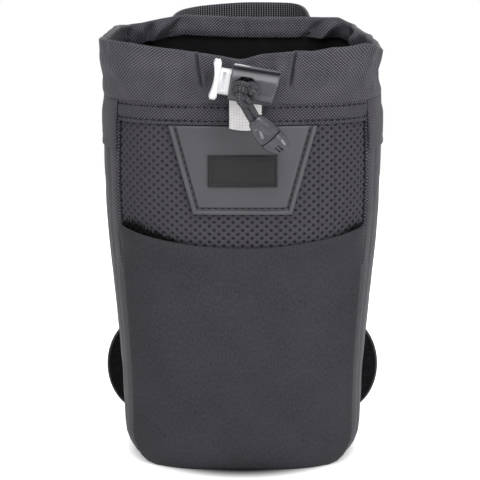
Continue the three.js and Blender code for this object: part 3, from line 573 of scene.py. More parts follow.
mesh_heights, mesh_turns = from_floor(np.concatenate([
    np.linspace(floor_round_height, mesh_fine_from, 8),
    np.arange(mesh_fine_from + 0.6, band_top, 0.6), [band_top]]))
mesh_share = close_edges(231, 0.03)
mesh_cut = (mesh_heights, mesh_turns, [("front", mesh_share)])
flat_mesh = wall_grid(*mesh_cut, mesh_depth)
edge_gap = gap_to_sides(flat_mesh)
from_left = arc_lengths(flat_mesh)
mesh_u = from_left.mean(axis=0) - from_left[:, -1].mean() / 2
mesh_v = lengths_along(flat_mesh[:, 120])
across_turn = 2 * math.pi * mesh_u[None] / hole_pitch_across
up_turn = 2 * math.pi * mesh_v[:, None] / hole_pitch_up
falling = 0.5 + 0.1 * np.clip(mesh_u / 45.0, -1, 1)[None]
lattice = falling * np.cos(across_turn + up_turn) + (1 - falling) * np.cos(across_turn - up_turn)
fine = (mesh_heights > mesh_fine_from)[:, None]
sunk = hole_depth * smooth_rise(lattice, 0.1, 0.9) * fine
hem_line = pocket_top_centre + pocket_hem_rise * mesh_share ** 2
over_hem = mesh_heights[:, None] - hem_line[None]
gap_at = np.exp(-((mesh_share + 0.84) / 0.28) ** 2) + 0.35 * np.exp(
    -((mesh_share - 0.9) / 0.12) ** 2) + 0.12
gap_at = gap_at[None] * smooth_rise(edge_gap, 0, 3)
dipped = 0.7 * gap_at * smooth_rise(-over_hem, -7, -1) * fine
# Painted shadow: below where the pocket's hem stands open, the mesh's colour is darkened in
# streaks.
shadow_streaks = 0.85 + 0.35 * np.cos(2.3 * across_turn) + 0.5 * waves(flat_mesh[:1], 3.0, 51)
painted_hem_shadow = 2.0 * gap_at * smooth_rise(-over_hem, -3.6 * (0.3 + gap_at) * shadow_streaks, -0.5)
puffed = 0.5 * waves(flat_mesh, 38.0, 1) * smooth_rise(edge_gap, 0, 18)
rolled = 1.3 * roll_down(edge_gap, seam_roll)
mesh_outer = mesh_depth + sunk - puffed + dipped + rolled - 0.2
mesh_map = np.stack(np.meshgrid(mesh_u, np.concatenate([mesh_v, mesh_v[::-1]])), axis=2) * mm
mesh_panel = wall_panel("front_mesh", mesh_cut, mesh_outer, mesh_inner_depth, uv=mesh_map)
# The painted hem shadow is stored on the mesh as a point attribute.
hem_shade = mesh_panel.data.attributes.new("painted_hem_shadow", "FLOAT", "POINT")
painted_hem_shadow = np.clip(painted_hem_shadow, 0, 1)
hem_shade.data.foreach_set("value", np.concatenate([painted_hem_shadow, painted_hem_shadow[::-1]]).ravel())
fit(mesh_panel, knitted_air_mesh(), "front_mesh_panel")

# Front pocket: heathered stretch cloth of nylon and elastane, sewn in at both sides.
# Its top hem hangs in a shallow curve and stands a little open at the left.
pocket_thickness = 1.2
pocket_pinch_height = 99.0


def stretch_cloth():
    """Brushed stretch nylon: flat and matt, with a fleck where light yarns cross dark ones."""
    fleck = 0.9  # real flecks: 0.3 mm, one yarn; drawn larger to show
    material, tree, shader = new_material(
        "brushed_stretch_nylon", roughness=0.88, specular=0.2, sheen=(0.06, 0.4))
    place = add_node(tree, "UVMap")
    tall = add_node(tree, "Mapping", {"Scale": (1.0, 0.55, 1.0)}, {"Vector": place})
    flecks = add_node(tree, "TexNoise",
                      {"Scale": 1 / (fleck * mm), "Detail": 4.0, "Roughness": 0.7},
                      {"Vector": tall})
    clouds = add_node(tree, "TexNoise", {"Scale": 1 / (22 * mm), "Detail": 2.0}, {"Vector": place})
    mixed = add_node(tree, "Math", {"operation": "MULTIPLY_ADD", 1: 0.3}, {0: clouds, 2: flecks})
    spread = add_node(tree, "MapRange", {"From Min": 0.42, "From Max": 0.88}, {"Value": mixed})
    two_tone(tree, spread, "#2a292d", "#3f3e43", shader)
    raise_surface(tree, shader, flecks, 0.08, 0.6)
    return material


pocket_share = close_edges(81, 0.06)
pocket_top = pocket_top_centre + pocket_hem_rise * pocket_share ** 2
wall_shares = np.concatenate([np.linspace(0, 0.94, 46), [0.955, 0.968, 0.978, 0.986, 0.993, 1.0]])
pocket_heights, pocket_turns = from_floor(
    floor_round_height + wall_shares[:, None] * (pocket_top - floor_round_height)[None])
pocket_cut = (pocket_heights, pocket_turns, [("front", pocket_share)])
flat_pocket = wall_grid(*pocket_cut, 0.0)
edge_gap = gap_to_sides(flat_pocket)
below_hem = pocket_top[None] - pocket_heights
hem = roll_down(below_hem, 0.55)
stand_open = 2.9 * np.exp(-((pocket_share + 0.78) / 0.26) ** 2) + 0.9 * (1 - pocket_share ** 4)
stand_open = stand_open + 1.6 * np.exp(-((pocket_share - 0.84) / 0.13) ** 2)
stand_open = stand_open * smooth_rise(1 - np.abs(pocket_share), 0, 0.06)
stand_open = stand_open[None] * smooth_rise(below_hem, 16, 0)


def below_pinch_at(heights):
    """One under the place where the pocket's seam pinches the walls, nought above it."""
    return smooth_rise(heights, pocket_pinch_height + 1, pocket_pinch_height - 2)


below_pinch = below_pinch_at(pocket_heights)
seam_drop = 1.7 * roll_down(edge_gap, seam_roll + 0.5 * below_pinch)
edge_swell = 0.7 * below_pinch * np.exp(-((edge_gap - 4) / 3.0) ** 2)
slack = smooth_rise(edge_gap, 0, 20) * smooth_rise(pocket_heights, floor_round_height, 40)
soft = 0.55 * waves(flat_pocket, 34.0, 2) * slack
pulls = 0.4 * np.exp(-((pocket_heights - pocket_pinch_height - 0.12 * edge_gap) / 3.0) ** 2)
pulls = pulls * np.exp(-edge_gap / 14)
pocket_outer = seam_drop + hem - edge_swell - soft - stand_open + pulls - 0.15
pocket_inner = pocket_thickness - hem - np.minimum(stand_open, 1.3) - np.maximum(soft, 0)
pocket = wall_panel("stretch_pocket", pocket_cut, pocket_outer, pocket_inner)
fit(pocket, stretch_cloth(), "front_pocket")

# Side gussets: 1680 denier ballistic nylon, one panel a side from the front seam to the back.
# A second layer, the yoke, is folded and sewn over the top of each.
side_panel_thickness = 3.1
yoke_bottom = 154.0
yoke_face = -0.9
weave_yarn = 0.8  # real yarns: 0.6 mm; drawn wider to show


def ballistic_nylon(name, dark, light):
    """Basket-woven nylon: thick round yarns; each crossing is painted lighter as a highlight, and
    the gaps between yarns darker as painted shade.
    """
    material, tree, shader = new_material(
        name, roughness=0.6, ior=1.53, specular=0.16, sheen=(0.02, 0.35))
    place = add_node(tree, "UVMap")
    turned = add_node(tree, "Mapping", {
        "Rotation": (0, 0, math.radians(3)), "Scale": (1 / (weave_yarn * mm),) * 3},
        {"Vector": place})
    crossings = add_node(tree, "TexChecker", {"Scale": 1.0}, {"Vector": turned})
    parts = add_node(tree, "SeparateXYZ", {}, {"Vector": turned})
    ridges = []
    for axis in ("X", "Y"):
        turn = add_node(tree, "Math", {"operation": "MULTIPLY", 1: math.pi},
                        {0: parts.outputs[axis]})
        wave = add_node(tree, "Math", {"operation": "SINE"}, {0: turn})
        ridges.append(add_node(tree, "Math", {"operation": "ABSOLUTE"}, {0: wave}))
    yarn = add_node(tree, "Mix", {"data_type": "FLOAT"},
                    {0: crossings.outputs["Fac"], 2: ridges[0], 3: ridges[1]})
    lift = add_node(tree, "Math", {"operation": "MULTIPLY_ADD", 1: 0.9},
                    {0: crossings.outputs["Fac"], 2: yarn.outputs[0]})
    clouds = add_node(tree, "TexNoise", {"Scale": 1 / (14 * mm), "Detail": 3.0}, {"Vector": place})
    level = add_node(tree, "Math", {"operation": "MULTIPLY_ADD", 1: 0.5}, {0: clouds, 2: lift})
    spread = add_node(tree, "MapRange", {"From Min": 0.9, "From Max": 2.05}, {"Value": level})
    # Painted highlight on the raised crossings and painted shade between them, with a random
    # cloudy tone.
    two_tone(tree, spread, dark, light, shader)
    raise_surface(tree, shader, lift, 0.16, 0.9)
    return material


def side_columns(seam_count, side_count, corner_count):
    near_seam = np.array([0.0, 0.008, 0.02, 0.04, 0.07])
    return [("seam_arc", np.concatenate([near_seam, np.linspace(0.11, 0.96, seam_count)])),
            ("side", np.linspace(0, 0.97, side_count)),
            ("rear_corner", np.linspace(0, 1, corner_count))]


body_nylon = ballistic_nylon("ballistic_nylon", "#0d0c0f", "#615e67")
side_heights, side_turns = from_floor(np.linspace(floor_round_height, band_top, 70))
yoke_heights = np.concatenate([yoke_bottom + np.array([0.0, 0.15, 0.4, 0.8, 1.3]),
                               np.linspace(yoke_bottom + 2.2, band_top, 18)])
for side, word in both_sides:
    columns = side_columns(26, 26, 12)
    cut = (side_heights, side_turns, columns)
    flat = wall_grid(*cut, 0.0, side)
    gap = arc_lengths(flat)
    rear_gap = gap[:, -1:] - gap
    drop = 1.7 * roll_down(gap, seam_roll) + 0.5 * roll_down(rear_gap, 0.6)
    below_pinch = below_pinch_at(side_heights)[:, None]
    tuck = 0.9 * below_pinch * np.exp(-(gap / 5.0) ** 2)
    soft = 0.25 * waves(flat, 18.0, 3 + side) * smooth_rise(gap, 0, 12)
    soft = soft * smooth_rise(rear_gap, 0, 10)
    soft = soft * smooth_rise(side_heights, floor_round_height, 40)[:, None]
    crease = 0.45 * np.exp(-((gap - 9 - 2.0 * waves(flat, 60.0, 5)) / 2.2) ** 2)
    panel = wall_panel(f"gusset_{word}", cut, drop + tuck - soft + crease, side_panel_thickness,
                       side)
    fit(panel, body_nylon, f"side_panel_{word}")
    cut = (yoke_heights, 0 * yoke_heights, columns)
    flat = wall_grid(*cut, yoke_face, side)
    gap = arc_lengths(flat)
    rear_gap = gap[:, -1:] - gap
    soft = 0.35 * waves(flat, 24.0, 8 + side) * smooth_rise(rear_gap, 0, 8)
    fold = roll_down((yoke_heights - yoke_bottom)[:, None], 0.5)
    groove = 0.35 * np.exp(-((yoke_heights[:, None] - yoke_seam_height) / 0.6) ** 2)
    tuck = (1.4 + 0.5 * side) * smooth_rise(yoke_heights, 168.0, 177.5)[:, None]
    soft = soft * np.clip(1 - tuck, 0, 1)
    drop = fold + groove + 0.4 * roll_down(gap, 1.0) + 0.5 * roll_down(rear_gap, 0.6) - soft + tuck
    yoke = wall_panel(f"yoke_{word}", cut, yoke_face + drop,
                      -0.12 - 0.12 * fold - np.maximum(soft, 0), side)
    fit(yoke, body_nylon, f"side_yoke_{word}")

# Seam thread: black bonded nylon, laid in lockstitches along every sewn line.
# A row is one piece of many short stitches, each a little mound pressed into the cloth.
stitch_length = 2.4
stitch_pitch = 3.1
stitch_width = 0.8


def bonded_thread(name, dark, light):
    """Bonded nylon thread: twisted, slightly glossy, darker where it dips into the cloth."""
    material, tree, shader = new_material(name, roughness=0.6, ior=1.53, specular=0.15)
    place = add_node(tree, "TexCoord").outputs["Object"]
    twist = add_node(tree, "TexWave",
                     {"bands_direction": "DIAGONAL", "Scale": 0.314 / (0.5 * mm)},
                     {"Vector": place})
    two_tone(tree, twist.outputs["Fac"], dark, light, shader)
    raise_surface(tree, shader, twist.outputs["Fac"], 0.05)
    return material


black_thread = bonded_thread("bonded_nylon_thread", "#08080a", "#202023")


def stitch_row(name, points, out, body="pouch", thread=black_thread,
               pitch=stitch_pitch, sunk=0.1, width=stitch_width, length=stitch_length):
    """Stitches along a line of points; out holds the cloth's outward direction at each point."""
    points, out = np.asarray(points, float), unit(np.asarray(out, float))
    along = lengths_along(points)
    count = max(1, int(along[-1] / pitch))
    middles = (np.arange(count) + 0.5) * along[-1] / count
    ring = np.linspace(0, 2 * math.pi, 8, endpoint=False)
    arch = np.linspace(-1, 1, 7)
    vertices, faces = [], []
    for middle in middles:
        places = np.clip(middle + arch * length / 2, 0, along[-1])
        line = at_lengths(np.concatenate([points, out], axis=1), places)
        line, normals = line[:, :3], unit(line[:, 3:])
        tangent = unit(line[-1] - line[0])
        beside = unit(np.cross(tangent, normals))
        size = np.sqrt(np.clip(1.02 - arch ** 2, 0.02, 1))[:, None, None]
        start = len(vertices)
        skin = line[:, None] + (width / 2 * size * np.cos(ring)[None, :, None] * beside[:, None]
                                + (width * 0.42 * size * np.sin(ring)[None, :, None] - sunk
                                   - 0.25 * arch[:, None, None] ** 4) * normals[:, None])
        vertices.extend(skin.reshape(-1, 3).tolist())
        for a in range(len(arch) - 1):
            for b in range(len(ring)):
                b2 = (b + 1) % len(ring)
                faces.append((start + a * 8 + b, start + a * 8 + b2,
                              start + (a + 1) * 8 + b2, start + (a + 1) * 8 + b))
        faces.append(tuple(start + b for b in range(7, -1, -1)))
        faces.append(tuple(start + (len(arch) - 1) * 8 + b for b in range(8)))
    row = face_outwards(mesh_piece(name, vertices, faces))
    row.data.materials.append(thread)
    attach(row, body)


def wall_line(columns, height, depth, side=1.0):
    """A level line round the wall, with the outward direction at each of its points."""
    outer, inner = (wall_grid(np.array([height]), np.zeros(1), columns, deep, side)[0]
                    for deep in (depth, depth + 1.0))
    return outer, outer - inner


ditch_depth = 1.6
ditch = from_floor(np.linspace(floor_round_height, band_bottom, 120))
for side, word in both_sides:
    seam = [("seam_arc", np.array([0.0, 0.001]))]
    line = wall_grid(*ditch, seam, ditch_depth, side)[:, 0]
    out = line - wall_grid(*ditch, seam, ditch_depth + 1.0, side)[:, 0]
    stitch_row(f"seam_stitches_{word}", line, out, pitch=3.0, sunk=0.0, width=1.3, length=3.3)
    line, out = wall_line(side_columns(26, 26, 12), yoke_seam_height, yoke_face + 0.3, side)
    stitch_row(f"yoke_stitches_{word}", line, out)

# Hem band: a folded strip of the ballistic nylon across the front, sewn down twice.
# It closes the top edge of the mesh and of the rubber patch.
band_thickness = 1.2
band_stitch_heights = (169.9, 176.3)
band_columns = [("front", close_edges(121, 0.03))]
band_heights = np.concatenate([band_bottom + np.array([0.0, 0.12, 0.3, 0.6, 1.0]),
                               np.linspace(band_bottom + 1.3, band_top, 16)])
band_cut = (band_heights, 0 * band_heights, band_columns)
flat_band = wall_grid(*band_cut, 0.0)
edge_gap = gap_to_sides(flat_band)
drop = roll_down((band_heights - band_bottom)[:, None], 0.5) + 0.5 * roll_down(edge_gap, seam_roll)
for height in band_stitch_heights:
    drop = drop + 0.7 * np.exp(-((band_heights[:, None] - height) / 0.6) ** 2)
soft = 0.3 * waves(flat_band, 16.0, 11) + 0.3 * waves(flat_band, 5.0, 12)
hem_band = wall_panel("hem_band_cloth", band_cut, drop - soft - 0.1, band_thickness)
fit(hem_band, body_nylon, "hem_band")
for height, word in zip(band_stitch_heights, ("lower", "upper")):
    line, out = wall_line(band_columns, height, 0.45)
    stitch_row(f"band_stitches_{word}", line[3:-3], out[3:-3], width=1.0)

# Rubber patch: a trapezoid moulded in soft PVC, stitched down in a groove inside its raised rim.
# Its top edge runs under the hem band.
patch_bottom = 126.0
patch_top = 167.7
patch_half_width_bottom = 23.2
patch_half_width_top = 34.7
patch_face = -0.95
patch_inner = 1.2
patch_rim = 2.2
patch_groove = 0.9
patch_field_drop = 0.45


def moulded_pvc():
    """Soft PVC: satin, with a faint sandy grain from the mould, and its raised edges painted
    lighter as a highlight.
    """
    grain = 0.35  # real grain: 0.15 mm; drawn coarser to show
    material, tree, shader = new_material(
        "moulded_soft_pvc", roughness=0.52, ior=1.52, specular=0.4)
    place = add_node(tree, "TexCoord").outputs["Object"]
    sand = add_node(tree, "TexNoise", {"Scale": 1 / (grain * mm), "Detail": 2.0},
                    {"Vector": place})
    clouds = add_node(tree, "TexNoise", {"Scale": 1 / (18 * mm), "Detail": 1.0}, {"Vector": place})
    edges = add_node(tree, "NewGeometry")
    # Painted highlight: the raised, sharp edges are painted lighter.
    painted_rim_highlight = add_node(tree, "MapRange",
                      {"From Min": 0.5, "From Max": 0.62, "To Max": 0.35},
                      {"Value": edges.outputs["Pointiness"]})
    level = add_node(tree, "Math", {"operation": "MULTIPLY_ADD", 1: 0.5}, {0: clouds, 2: painted_rim_highlight})
    two_tone(tree, level, "#3c3c40", "#56565c", shader)
    raise_surface(tree, shader, sand, 0.03, 0.5)
    return material


def patch_profile(gap):
    """Drop of the patch's face by distance from its rim: rim, stitching groove, flat field."""
    places = [0.0, 0.1, 0.3, 0.6, patch_rim - 0.3, patch_rim + 0.1, patch_rim + 0.5,
              patch_rim + patch_groove, patch_rim + patch_groove + 0.5]
    return np.interp(gap, places, [0.75, 0.4, 0.12, 0, 0, 1.1, 1.4, 1.2, patch_field_drop])


near_edge = np.array([0.0, 0.1, 0.3, 0.6, 1.2, 1.9, 2.1, 2.3, 2.6, 2.8, 3.1, 3.35, 3.6, 4.0])
patch_rows = np.concatenate([near_edge, np.linspace(4.6, patch_top - patch_bottom, 40)])
patch_columns = []
patch_gaps = []
for row in patch_rows:
    half = mix(patch_half_width_bottom, patch_half_width_top, row / (patch_top - patch_bottom))
    middle = np.linspace(near_edge[-1] + 0.5, 2 * half - near_edge[-1] - 0.5, 56)
    places = np.concatenate([near_edge, middle, 2 * half - near_edge[::-1]])
    patch_columns.append(places - half)
    patch_gaps.append(np.minimum(np.minimum(places, 2 * half - places) * 0.96, row))
patch_columns, patch_gaps = np.array(patch_columns), np.array(patch_gaps)
patch_z = (patch_bottom + patch_rows)[:, None]
dished = 0.25 * waves(np.stack([patch_columns, patch_z + 0 * patch_columns,
                                0 * patch_columns], axis=-1), 22.0, 17)
patch_outer = bag_point("across", patch_columns, patch_z, 0.0,
                        patch_face + patch_profile(patch_gaps) - dished * (patch_gaps > 3.5))
patch_under = bag_point("across", patch_columns, patch_z, 0.0, patch_inner)
patch = sewn_panel("moulded_patch", patch_outer, patch_under)
fit(patch, moulded_pvc(), "rubber_patch")
groove_inset = patch_rim + 0.7
sew_z = np.linspace(patch_top - 0.8, patch_bottom + groove_inset, 30)
sew_half = mix(patch_half_width_bottom, patch_half_width_top,
               (sew_z - patch_bottom) / (patch_top - patch_bottom)) - groove_inset * 1.04
sew_x = np.concatenate([-sew_half, np.linspace(-sew_half[-1], sew_half[-1], 40)[1:-1],
                        sew_half[::-1]])
sew_z = np.concatenate([sew_z, np.full(38, sew_z[-1]), sew_z[::-1]])
line = bag_point("across", sew_x, sew_z, 0.0, 0.3)
out = line - bag_point("across", sew_x, sew_z, 0.0, 0.9)
stitch_row("patch_stitches", line, out, width=0.6)

# Label: a small badge woven in fine black polyester and satin-stitched round its edge.
# It is left bare.
label_half_width = 16.2
label_height = 15.0
label_middle = 146.7
label_face = -1.95
label_edge = 1.5


def straight_runs(corners, counts):
    """Even points along the straight runs from corner to corner."""
    return np.concatenate([np.linspace(a, b, n) for a, b, n in zip(corners, corners[1:], counts)])


def woven_badge():
    """Damask-woven polyester: fine flat yarns with a low lustre, and a brighter stitched edge."""
    material, tree, shader = new_material(
        "woven_polyester_badge", roughness=0.6, ior=1.55, specular=0.3, sheen=(0.05, 0.4))
    # Real yarns: 0.2 mm; drawn 0.5 mm wide to show.
    place = add_node(tree, "UVMap")
    # The mortar between the yarns is painted darker, as shade in the fine furrows.
    fine = add_node(tree, "TexBrick", {
        "Scale": 1.0, "Color1": colour("#131316"), "Color2": colour("#1d1d20"),
        "Mortar": colour("#0a0a0c"), "Mortar Size": 0.1 * mm, "Brick Width": 1.0 * mm,
        "Row Height": 0.5 * mm, "Bias": 0.0}, {"Vector": place})
    tree.links.new(fine.outputs["Color"], shader.inputs["Base Color"])
    raise_surface(tree, shader, fine.outputs["Fac"], -0.06, 0.8)
    return material


near_edge = np.array([0.0, 0.08, 0.25, 0.5, 0.8, 1.1, 1.3, 1.5, 1.7, 1.9, 2.2])
label_x = np.concatenate([near_edge, np.linspace(2.8, 2 * label_half_width - 2.8, 60),
                          2 * label_half_width - near_edge[::-1]])
label_z = np.concatenate([near_edge, np.linspace(2.7, label_height - 2.7, 24),
                          label_height - near_edge[::-1]])
gap_x = np.minimum(label_x, 2 * label_half_width - label_x)[None]
gap_z = np.minimum(label_z, label_height - label_z)[:, None]
gap = np.minimum(gap_x, gap_z)
satin = np.sin(np.where(gap_x < gap_z, label_z[:, None], label_x[None]) * 2 * math.pi / 1.1)
drop = np.interp(gap, [0, 0.1, 0.3, 0.75, 1.2, 1.5, 1.9, 2.2],
                 [0.8, 0.4, 0.1, 0, 0.1, 0.42, 0.42, 0.25])
drop = drop + 0.05 * satin * (gap < label_edge)
label_points = (label_x[None] - label_half_width,
                label_z[:, None] + label_middle - label_height / 2)
label_outer = bag_point("across", *label_points, 0.0, label_face + drop)
label_under = bag_point("across", *label_points, 0.0,
                        patch_face + patch_field_drop - 0.25 + 0 * drop)
label = sewn_panel("woven_label", label_outer, label_under)
fit(label, woven_badge(), "label_badge")
edge_x = label_half_width - 0.75
edge_z = label_height / 2 - 0.75
edge_x, edge_z = straight_runs([(-edge_x, -edge_z), (edge_x, -edge_z), (edge_x, edge_z),
                                (-edge_x, edge_z), (-edge_x, -edge_z)], (30, 12, 30, 12)).T
line = bag_point("across", edge_x, edge_z + label_middle, 0.0, label_face)
out = line - bag_point("across", edge_x, edge_z + label_middle, 0.0, label_face + 1)
stitch_row("label_stitches", line, out,
           thread=bonded_thread("badge_edge_thread", "#101012", "#3c3c41"), pitch=1.35, sunk=0.02,
           width=0.7, length=1.2)

# Collar: ballistic nylon, unpadded, folded over at the rim into a tunnel for the drawcord.
# The cord has drawn it in a little: it dips and pleats at the lock and buckles at the rear.
collar_bottom = 177.8
collar_wall = 2.4
hem_roll = 3.6
hem_drop = 14.0
rear_hem_rise = 5.0
rim_places = np.array([
    (-1.2, -59.6, 197.7), (1.1, -59.6, 197.9), (8.0, -60.0, 200.0), (17.2, -60.2, 200.9),
    (26.4, -60.1, 201.8), (32.4, -59.7, 201.4), (41.7, -58.9, 203.1), (46.8, -58.0, 203.2),
    (52.8, -56.1, 203.8), (58.1, -53.2, 204.8), (62.6, -49.2, 203.4), (66.0, -38.0, 200.6),
    (66.2, -20.0, 199.8), (64.6, -5.0, 201.4), (62.8, 8.0, 202.6), (60.4, 22.0, 202.6),
    (57.8, 36.0, 203.4), (55.6, 47.0, 203.9), (48.0, 54.5, 206.7), (33.0, 55.6, 206.8),
    (10.0, 56.0, 206.6), (-6.2, 56.0, 206.8), (-20.0, 55.8, 207.6), (-29.0, 55.2, 208.0),
    (-36.5, 54.0, 206.9), (-41.5, 53.0, 206.1), (-49.5, 51.6, 204.4), (-58.0, 48.0, 203.6),
    (-61.8, 38.0, 204.4), (-63.8, 20.0, 205.2), (-65.6, 2.0, 204.8), (-67.8, -18.0, 204.0),
    (-67.4, -34.0, 204.8), (-62.5, -48.0, 205.5), (-54.3, -55.4, 205.1), (-42.7, -58.8, 203.6),
    (-31.1, -59.8, 202.3), (-19.6, -60.2, 200.9), (-12.7, -60.0, 199.8)])
pleat_places = ((-20.6, -18.0, 1.0), (23.6, 20.8, -1.0))
collar_columns = 1100
settled_column = 6


def ring_line(height, depth, count):
    """An even ring of points round the bag at one height, starting at the front centre."""
    halves = [("front", np.linspace(0, 1, 90)), ("seam_arc", np.linspace(0, 1, 40)[1:]),
              ("side", np.linspace(0, 1, 30)[1:]), ("rear_corner", np.linspace(0, 1, 30)[1:]),
              ("back", np.linspace(1, 0, 40)[1:])]
    right = wall_grid(np.array([height]), np.zeros(1), halves, depth)[0]
    left = right[::-1] * np.array([-1.0, 1.0, 1.0])
    loop = np.concatenate([right, left[1:]])
    along = lengths_along(loop)
    return at_lengths(loop, np.linspace(0, along[-1], count, endpoint=False))


def ring_out(loop):
    """Outward directions of a closed, level loop of points."""
    tangent = loop_tangents(loop)
    return unit(np.stack([tangent[:, 1], -tangent[:, 0], 0 * tangent[:, 0]], axis=1))


def polar(points):
    return np.arctan2(points[:, 0], -points[:, 1])


foot = ring_line(collar_bottom, 0.0, collar_columns)
rim_out = ring_out(foot)
angle = polar(foot)
rim_angle = polar(rim_places)
order = np.argsort(rim_angle)
wrapped = np.concatenate([rim_angle[order] - 2 * math.pi, rim_angle[order],
                          rim_angle[order] + 2 * math.pi])
rim = eased(np.stack([np.interp(angle, wrapped, np.tile(column, 3))
                      for column in rim_places[order].T], axis=1), 10)
at_front = smooth_rise(-foot[:, 1], 25, 45)
at_rear = smooth_rise(foot[:, 1], 5, 35)
around = 2 * math.pi * np.arange(collar_columns) / collar_columns


def ring_noise(size, seed):
    """Random waves round the collar: the larger the size, the shorter they are."""
    ring = np.stack([size * np.cos(around), size * np.sin(around), 0 * around + seed], axis=1)
    return np.array([noise.noise(Vector(place)) for place in ring])


ruffle, small_ruffle = ring_noise(9, 4), ring_noise(26, 9)
near_lock = np.exp(-((foot[:, 0] - 1.3) / 26) ** 2) * at_front
gather = 0.45 + 0.8 * near_lock + 0.5 * at_rear


def collar_bulge(rise):
    """How far the collar stands outwards from a straight wall, at a share of its height."""
    tunnel = np.exp(-((rise - 0.62) / 0.2) ** 2)
    at_side = 1 - np.maximum(at_front, at_rear)
    at_right = at_side * (foot[:, 0] > 0)
    waist = -(0.6 + 1.1 * at_right) * np.exp(-((rise - 0.34) / 0.24) ** 2)
    bulge = (0.9 - 0.9 * at_side - 1.3 * at_right) * tunnel + waist * (1 - 0.6 * at_front)
    bulge = bulge + gather * (1.6 * ruffle * rise + 1.1 * small_ruffle * tunnel)
    x = foot[:, 0]
    for top_x, low_x, side in pleat_places:
        middle = low_x + (top_x - low_x) * rise
        fade = smooth_rise(rise, 0.28, 0.5) * at_front
        bulge = bulge - 2.8 * fade * np.exp(-((x - middle) / 0.42) ** 2)
        bulge = bulge + 0.9 * fade * np.exp(-((x - middle - side * 1.6) / 1.2) ** 2)
    return bulge


def collar_line(rise):
    """The straight wall from foot to rim, at a share of its height at each column."""
    rise = np.broadcast_to(rise, (collar_columns,))
    return foot + (rim - foot) * np.stack([rise ** 1.3, rise ** 1.3, rise], axis=1)


rises = np.linspace(0, 1, 13)
ring = np.stack([collar_line(r) + rim_out * collar_bulge(r)[:, None] for r in rises])
ring = ring[:, ::settled_column]
held = np.zeros(ring.shape[:2])
held[0] = held[-1] = 1.0
buckles = settle_cloth(ring, held, 0.02, 0.5, 1.6)


def collar_buckle(rise):
    """How far the settled collar has buckled outwards, at a share of its height."""
    row = np.broadcast_to(rise, (collar_columns,)) * (len(rises) - 1)
    return between(buckles, row, np.arange(collar_columns) / settled_column)


collar_rows = []
for rise in np.linspace(0, 1, 34):
    outward = collar_bulge(rise) + collar_buckle(rise)
    collar_rows.append(collar_line(rise) + rim_out * outward[:, None])
lift = np.array([0.0, 0.0, 1.0])
corner_folds = ((-60.0, 46.0, -0.25, -3.2, 2.2), (-52.5, 50.5, -0.2, 6.0, 3.6),
                (-45.0, 52.5, 0.15, -3.2, 2.0), (-38.0, 54.0, 0.75, 7.5, 4.2),
                (-31.0, 55.0, 0.9, -3.3, 1.7), (-18.0, 56.0, 0.0, 1.2, 6.0),
                (40.0, 55.2, 0.95, -3.3, 2.0), (46.5, 54.0, 0.9, 7.5, 4.4),
                (57.0, 42.0, 0.3, -3.0, 2.4), (61.0, 26.0, 0.2, 5.0, 6.0))


def inner_folds(drop):
    """How far the inner side of the hem stands in or out at the buckled rear corners."""
    along = np.arange(collar_columns) * np.linalg.norm(np.diff(foot[:2], axis=0))
    total = along[-1] + along[1]
    push = np.zeros(collar_columns)
    for x, y, lean, depth, width in corner_folds:
        start = along[np.argmin((rim[:, 0] - x) ** 2 + (rim[:, 1] - y) ** 2)]
        gap = (along - start - lean * drop + total / 2) % total - total / 2
        push = push + depth * np.exp(-np.abs(gap / width) ** 1.5)
    return push * smooth_rise(drop, -1.0, 4.0)


top_edge = collar_rows[-1]
for inward, up in ((0.25, 0.5), (0.9, 0.95), (1.8, 1.0), (2.8, 0.75), (3.4, 0.2)):
    collar_rows.append(top_edge - rim_out * inward + lift * up)
collar_height = rim[:, 2] - collar_bottom
hem = hem_drop - rear_hem_rise * at_rear
for share in np.linspace(0.07, 1, 14):
    drop = hem * share
    rise = 1 - drop / collar_height
    fullness = 0.7 * np.exp(-((share - 0.68) / 0.25) ** 2) + 0.5 * small_ruffle
    inward = 1.4 * ruffle * rise * gather - hem_roll - fullness - inner_folds(drop)
    inward = inward + collar_buckle(rise)
    collar_rows.append(collar_line(rise) + rim_out * inward[:, None])
for share in np.linspace(1, 0, 9):
    rise = share * (1 - (hem + 0.6) / collar_height)
    low_folds = 0.6 * np.maximum(inner_folds(hem), -1.0)
    inward = 1.2 * ruffle * rise - collar_wall - low_folds + collar_buckle(rise)
    collar_rows.append(collar_line(rise) + rim_out * inward[:, None])
collar = face_outwards(grid_piece("gathered_collar", np.array(collar_rows), wrap_rows=True,
                                  wrap_columns=True))
# The collar's copy of the cloth paints its weave's highlight and shade stronger.
fit(collar, ballistic_nylon("ballistic_nylon_collar", "#080709", "#706d77"), "collar")

# Padding: closed-cell foam, 4.4 mm thick, one sheet for each wall and one for the floor.
# The seams squeeze the edges of each sheet flat, so it is fullest in the middle.
foam_face = 3.4
foam_back = 7.8
foam_squeeze = 1.3
flat_half_width, flat_front, flat_back = 36.2, 38.2, 46.2


def cellular_foam():
    """Cross-linked polyethylene foam: dull grey skin pocked with fine cells."""
    material, tree, shader = new_material("closed_cell_foam", roughness=0.95)
    place = add_node(tree, "TexCoord").outputs["Object"]
    cell_size = 0.6  # real cells: 0.3 mm; drawn larger to show
    cells = add_node(tree, "TexVoronoi", {"Scale": 1 / (cell_size * mm)}, {"Vector": place})
    two_tone(tree, cells, "#4d4d50", "#77777a", shader)
    raise_surface(tree, shader, cells, 0.1)
    return material


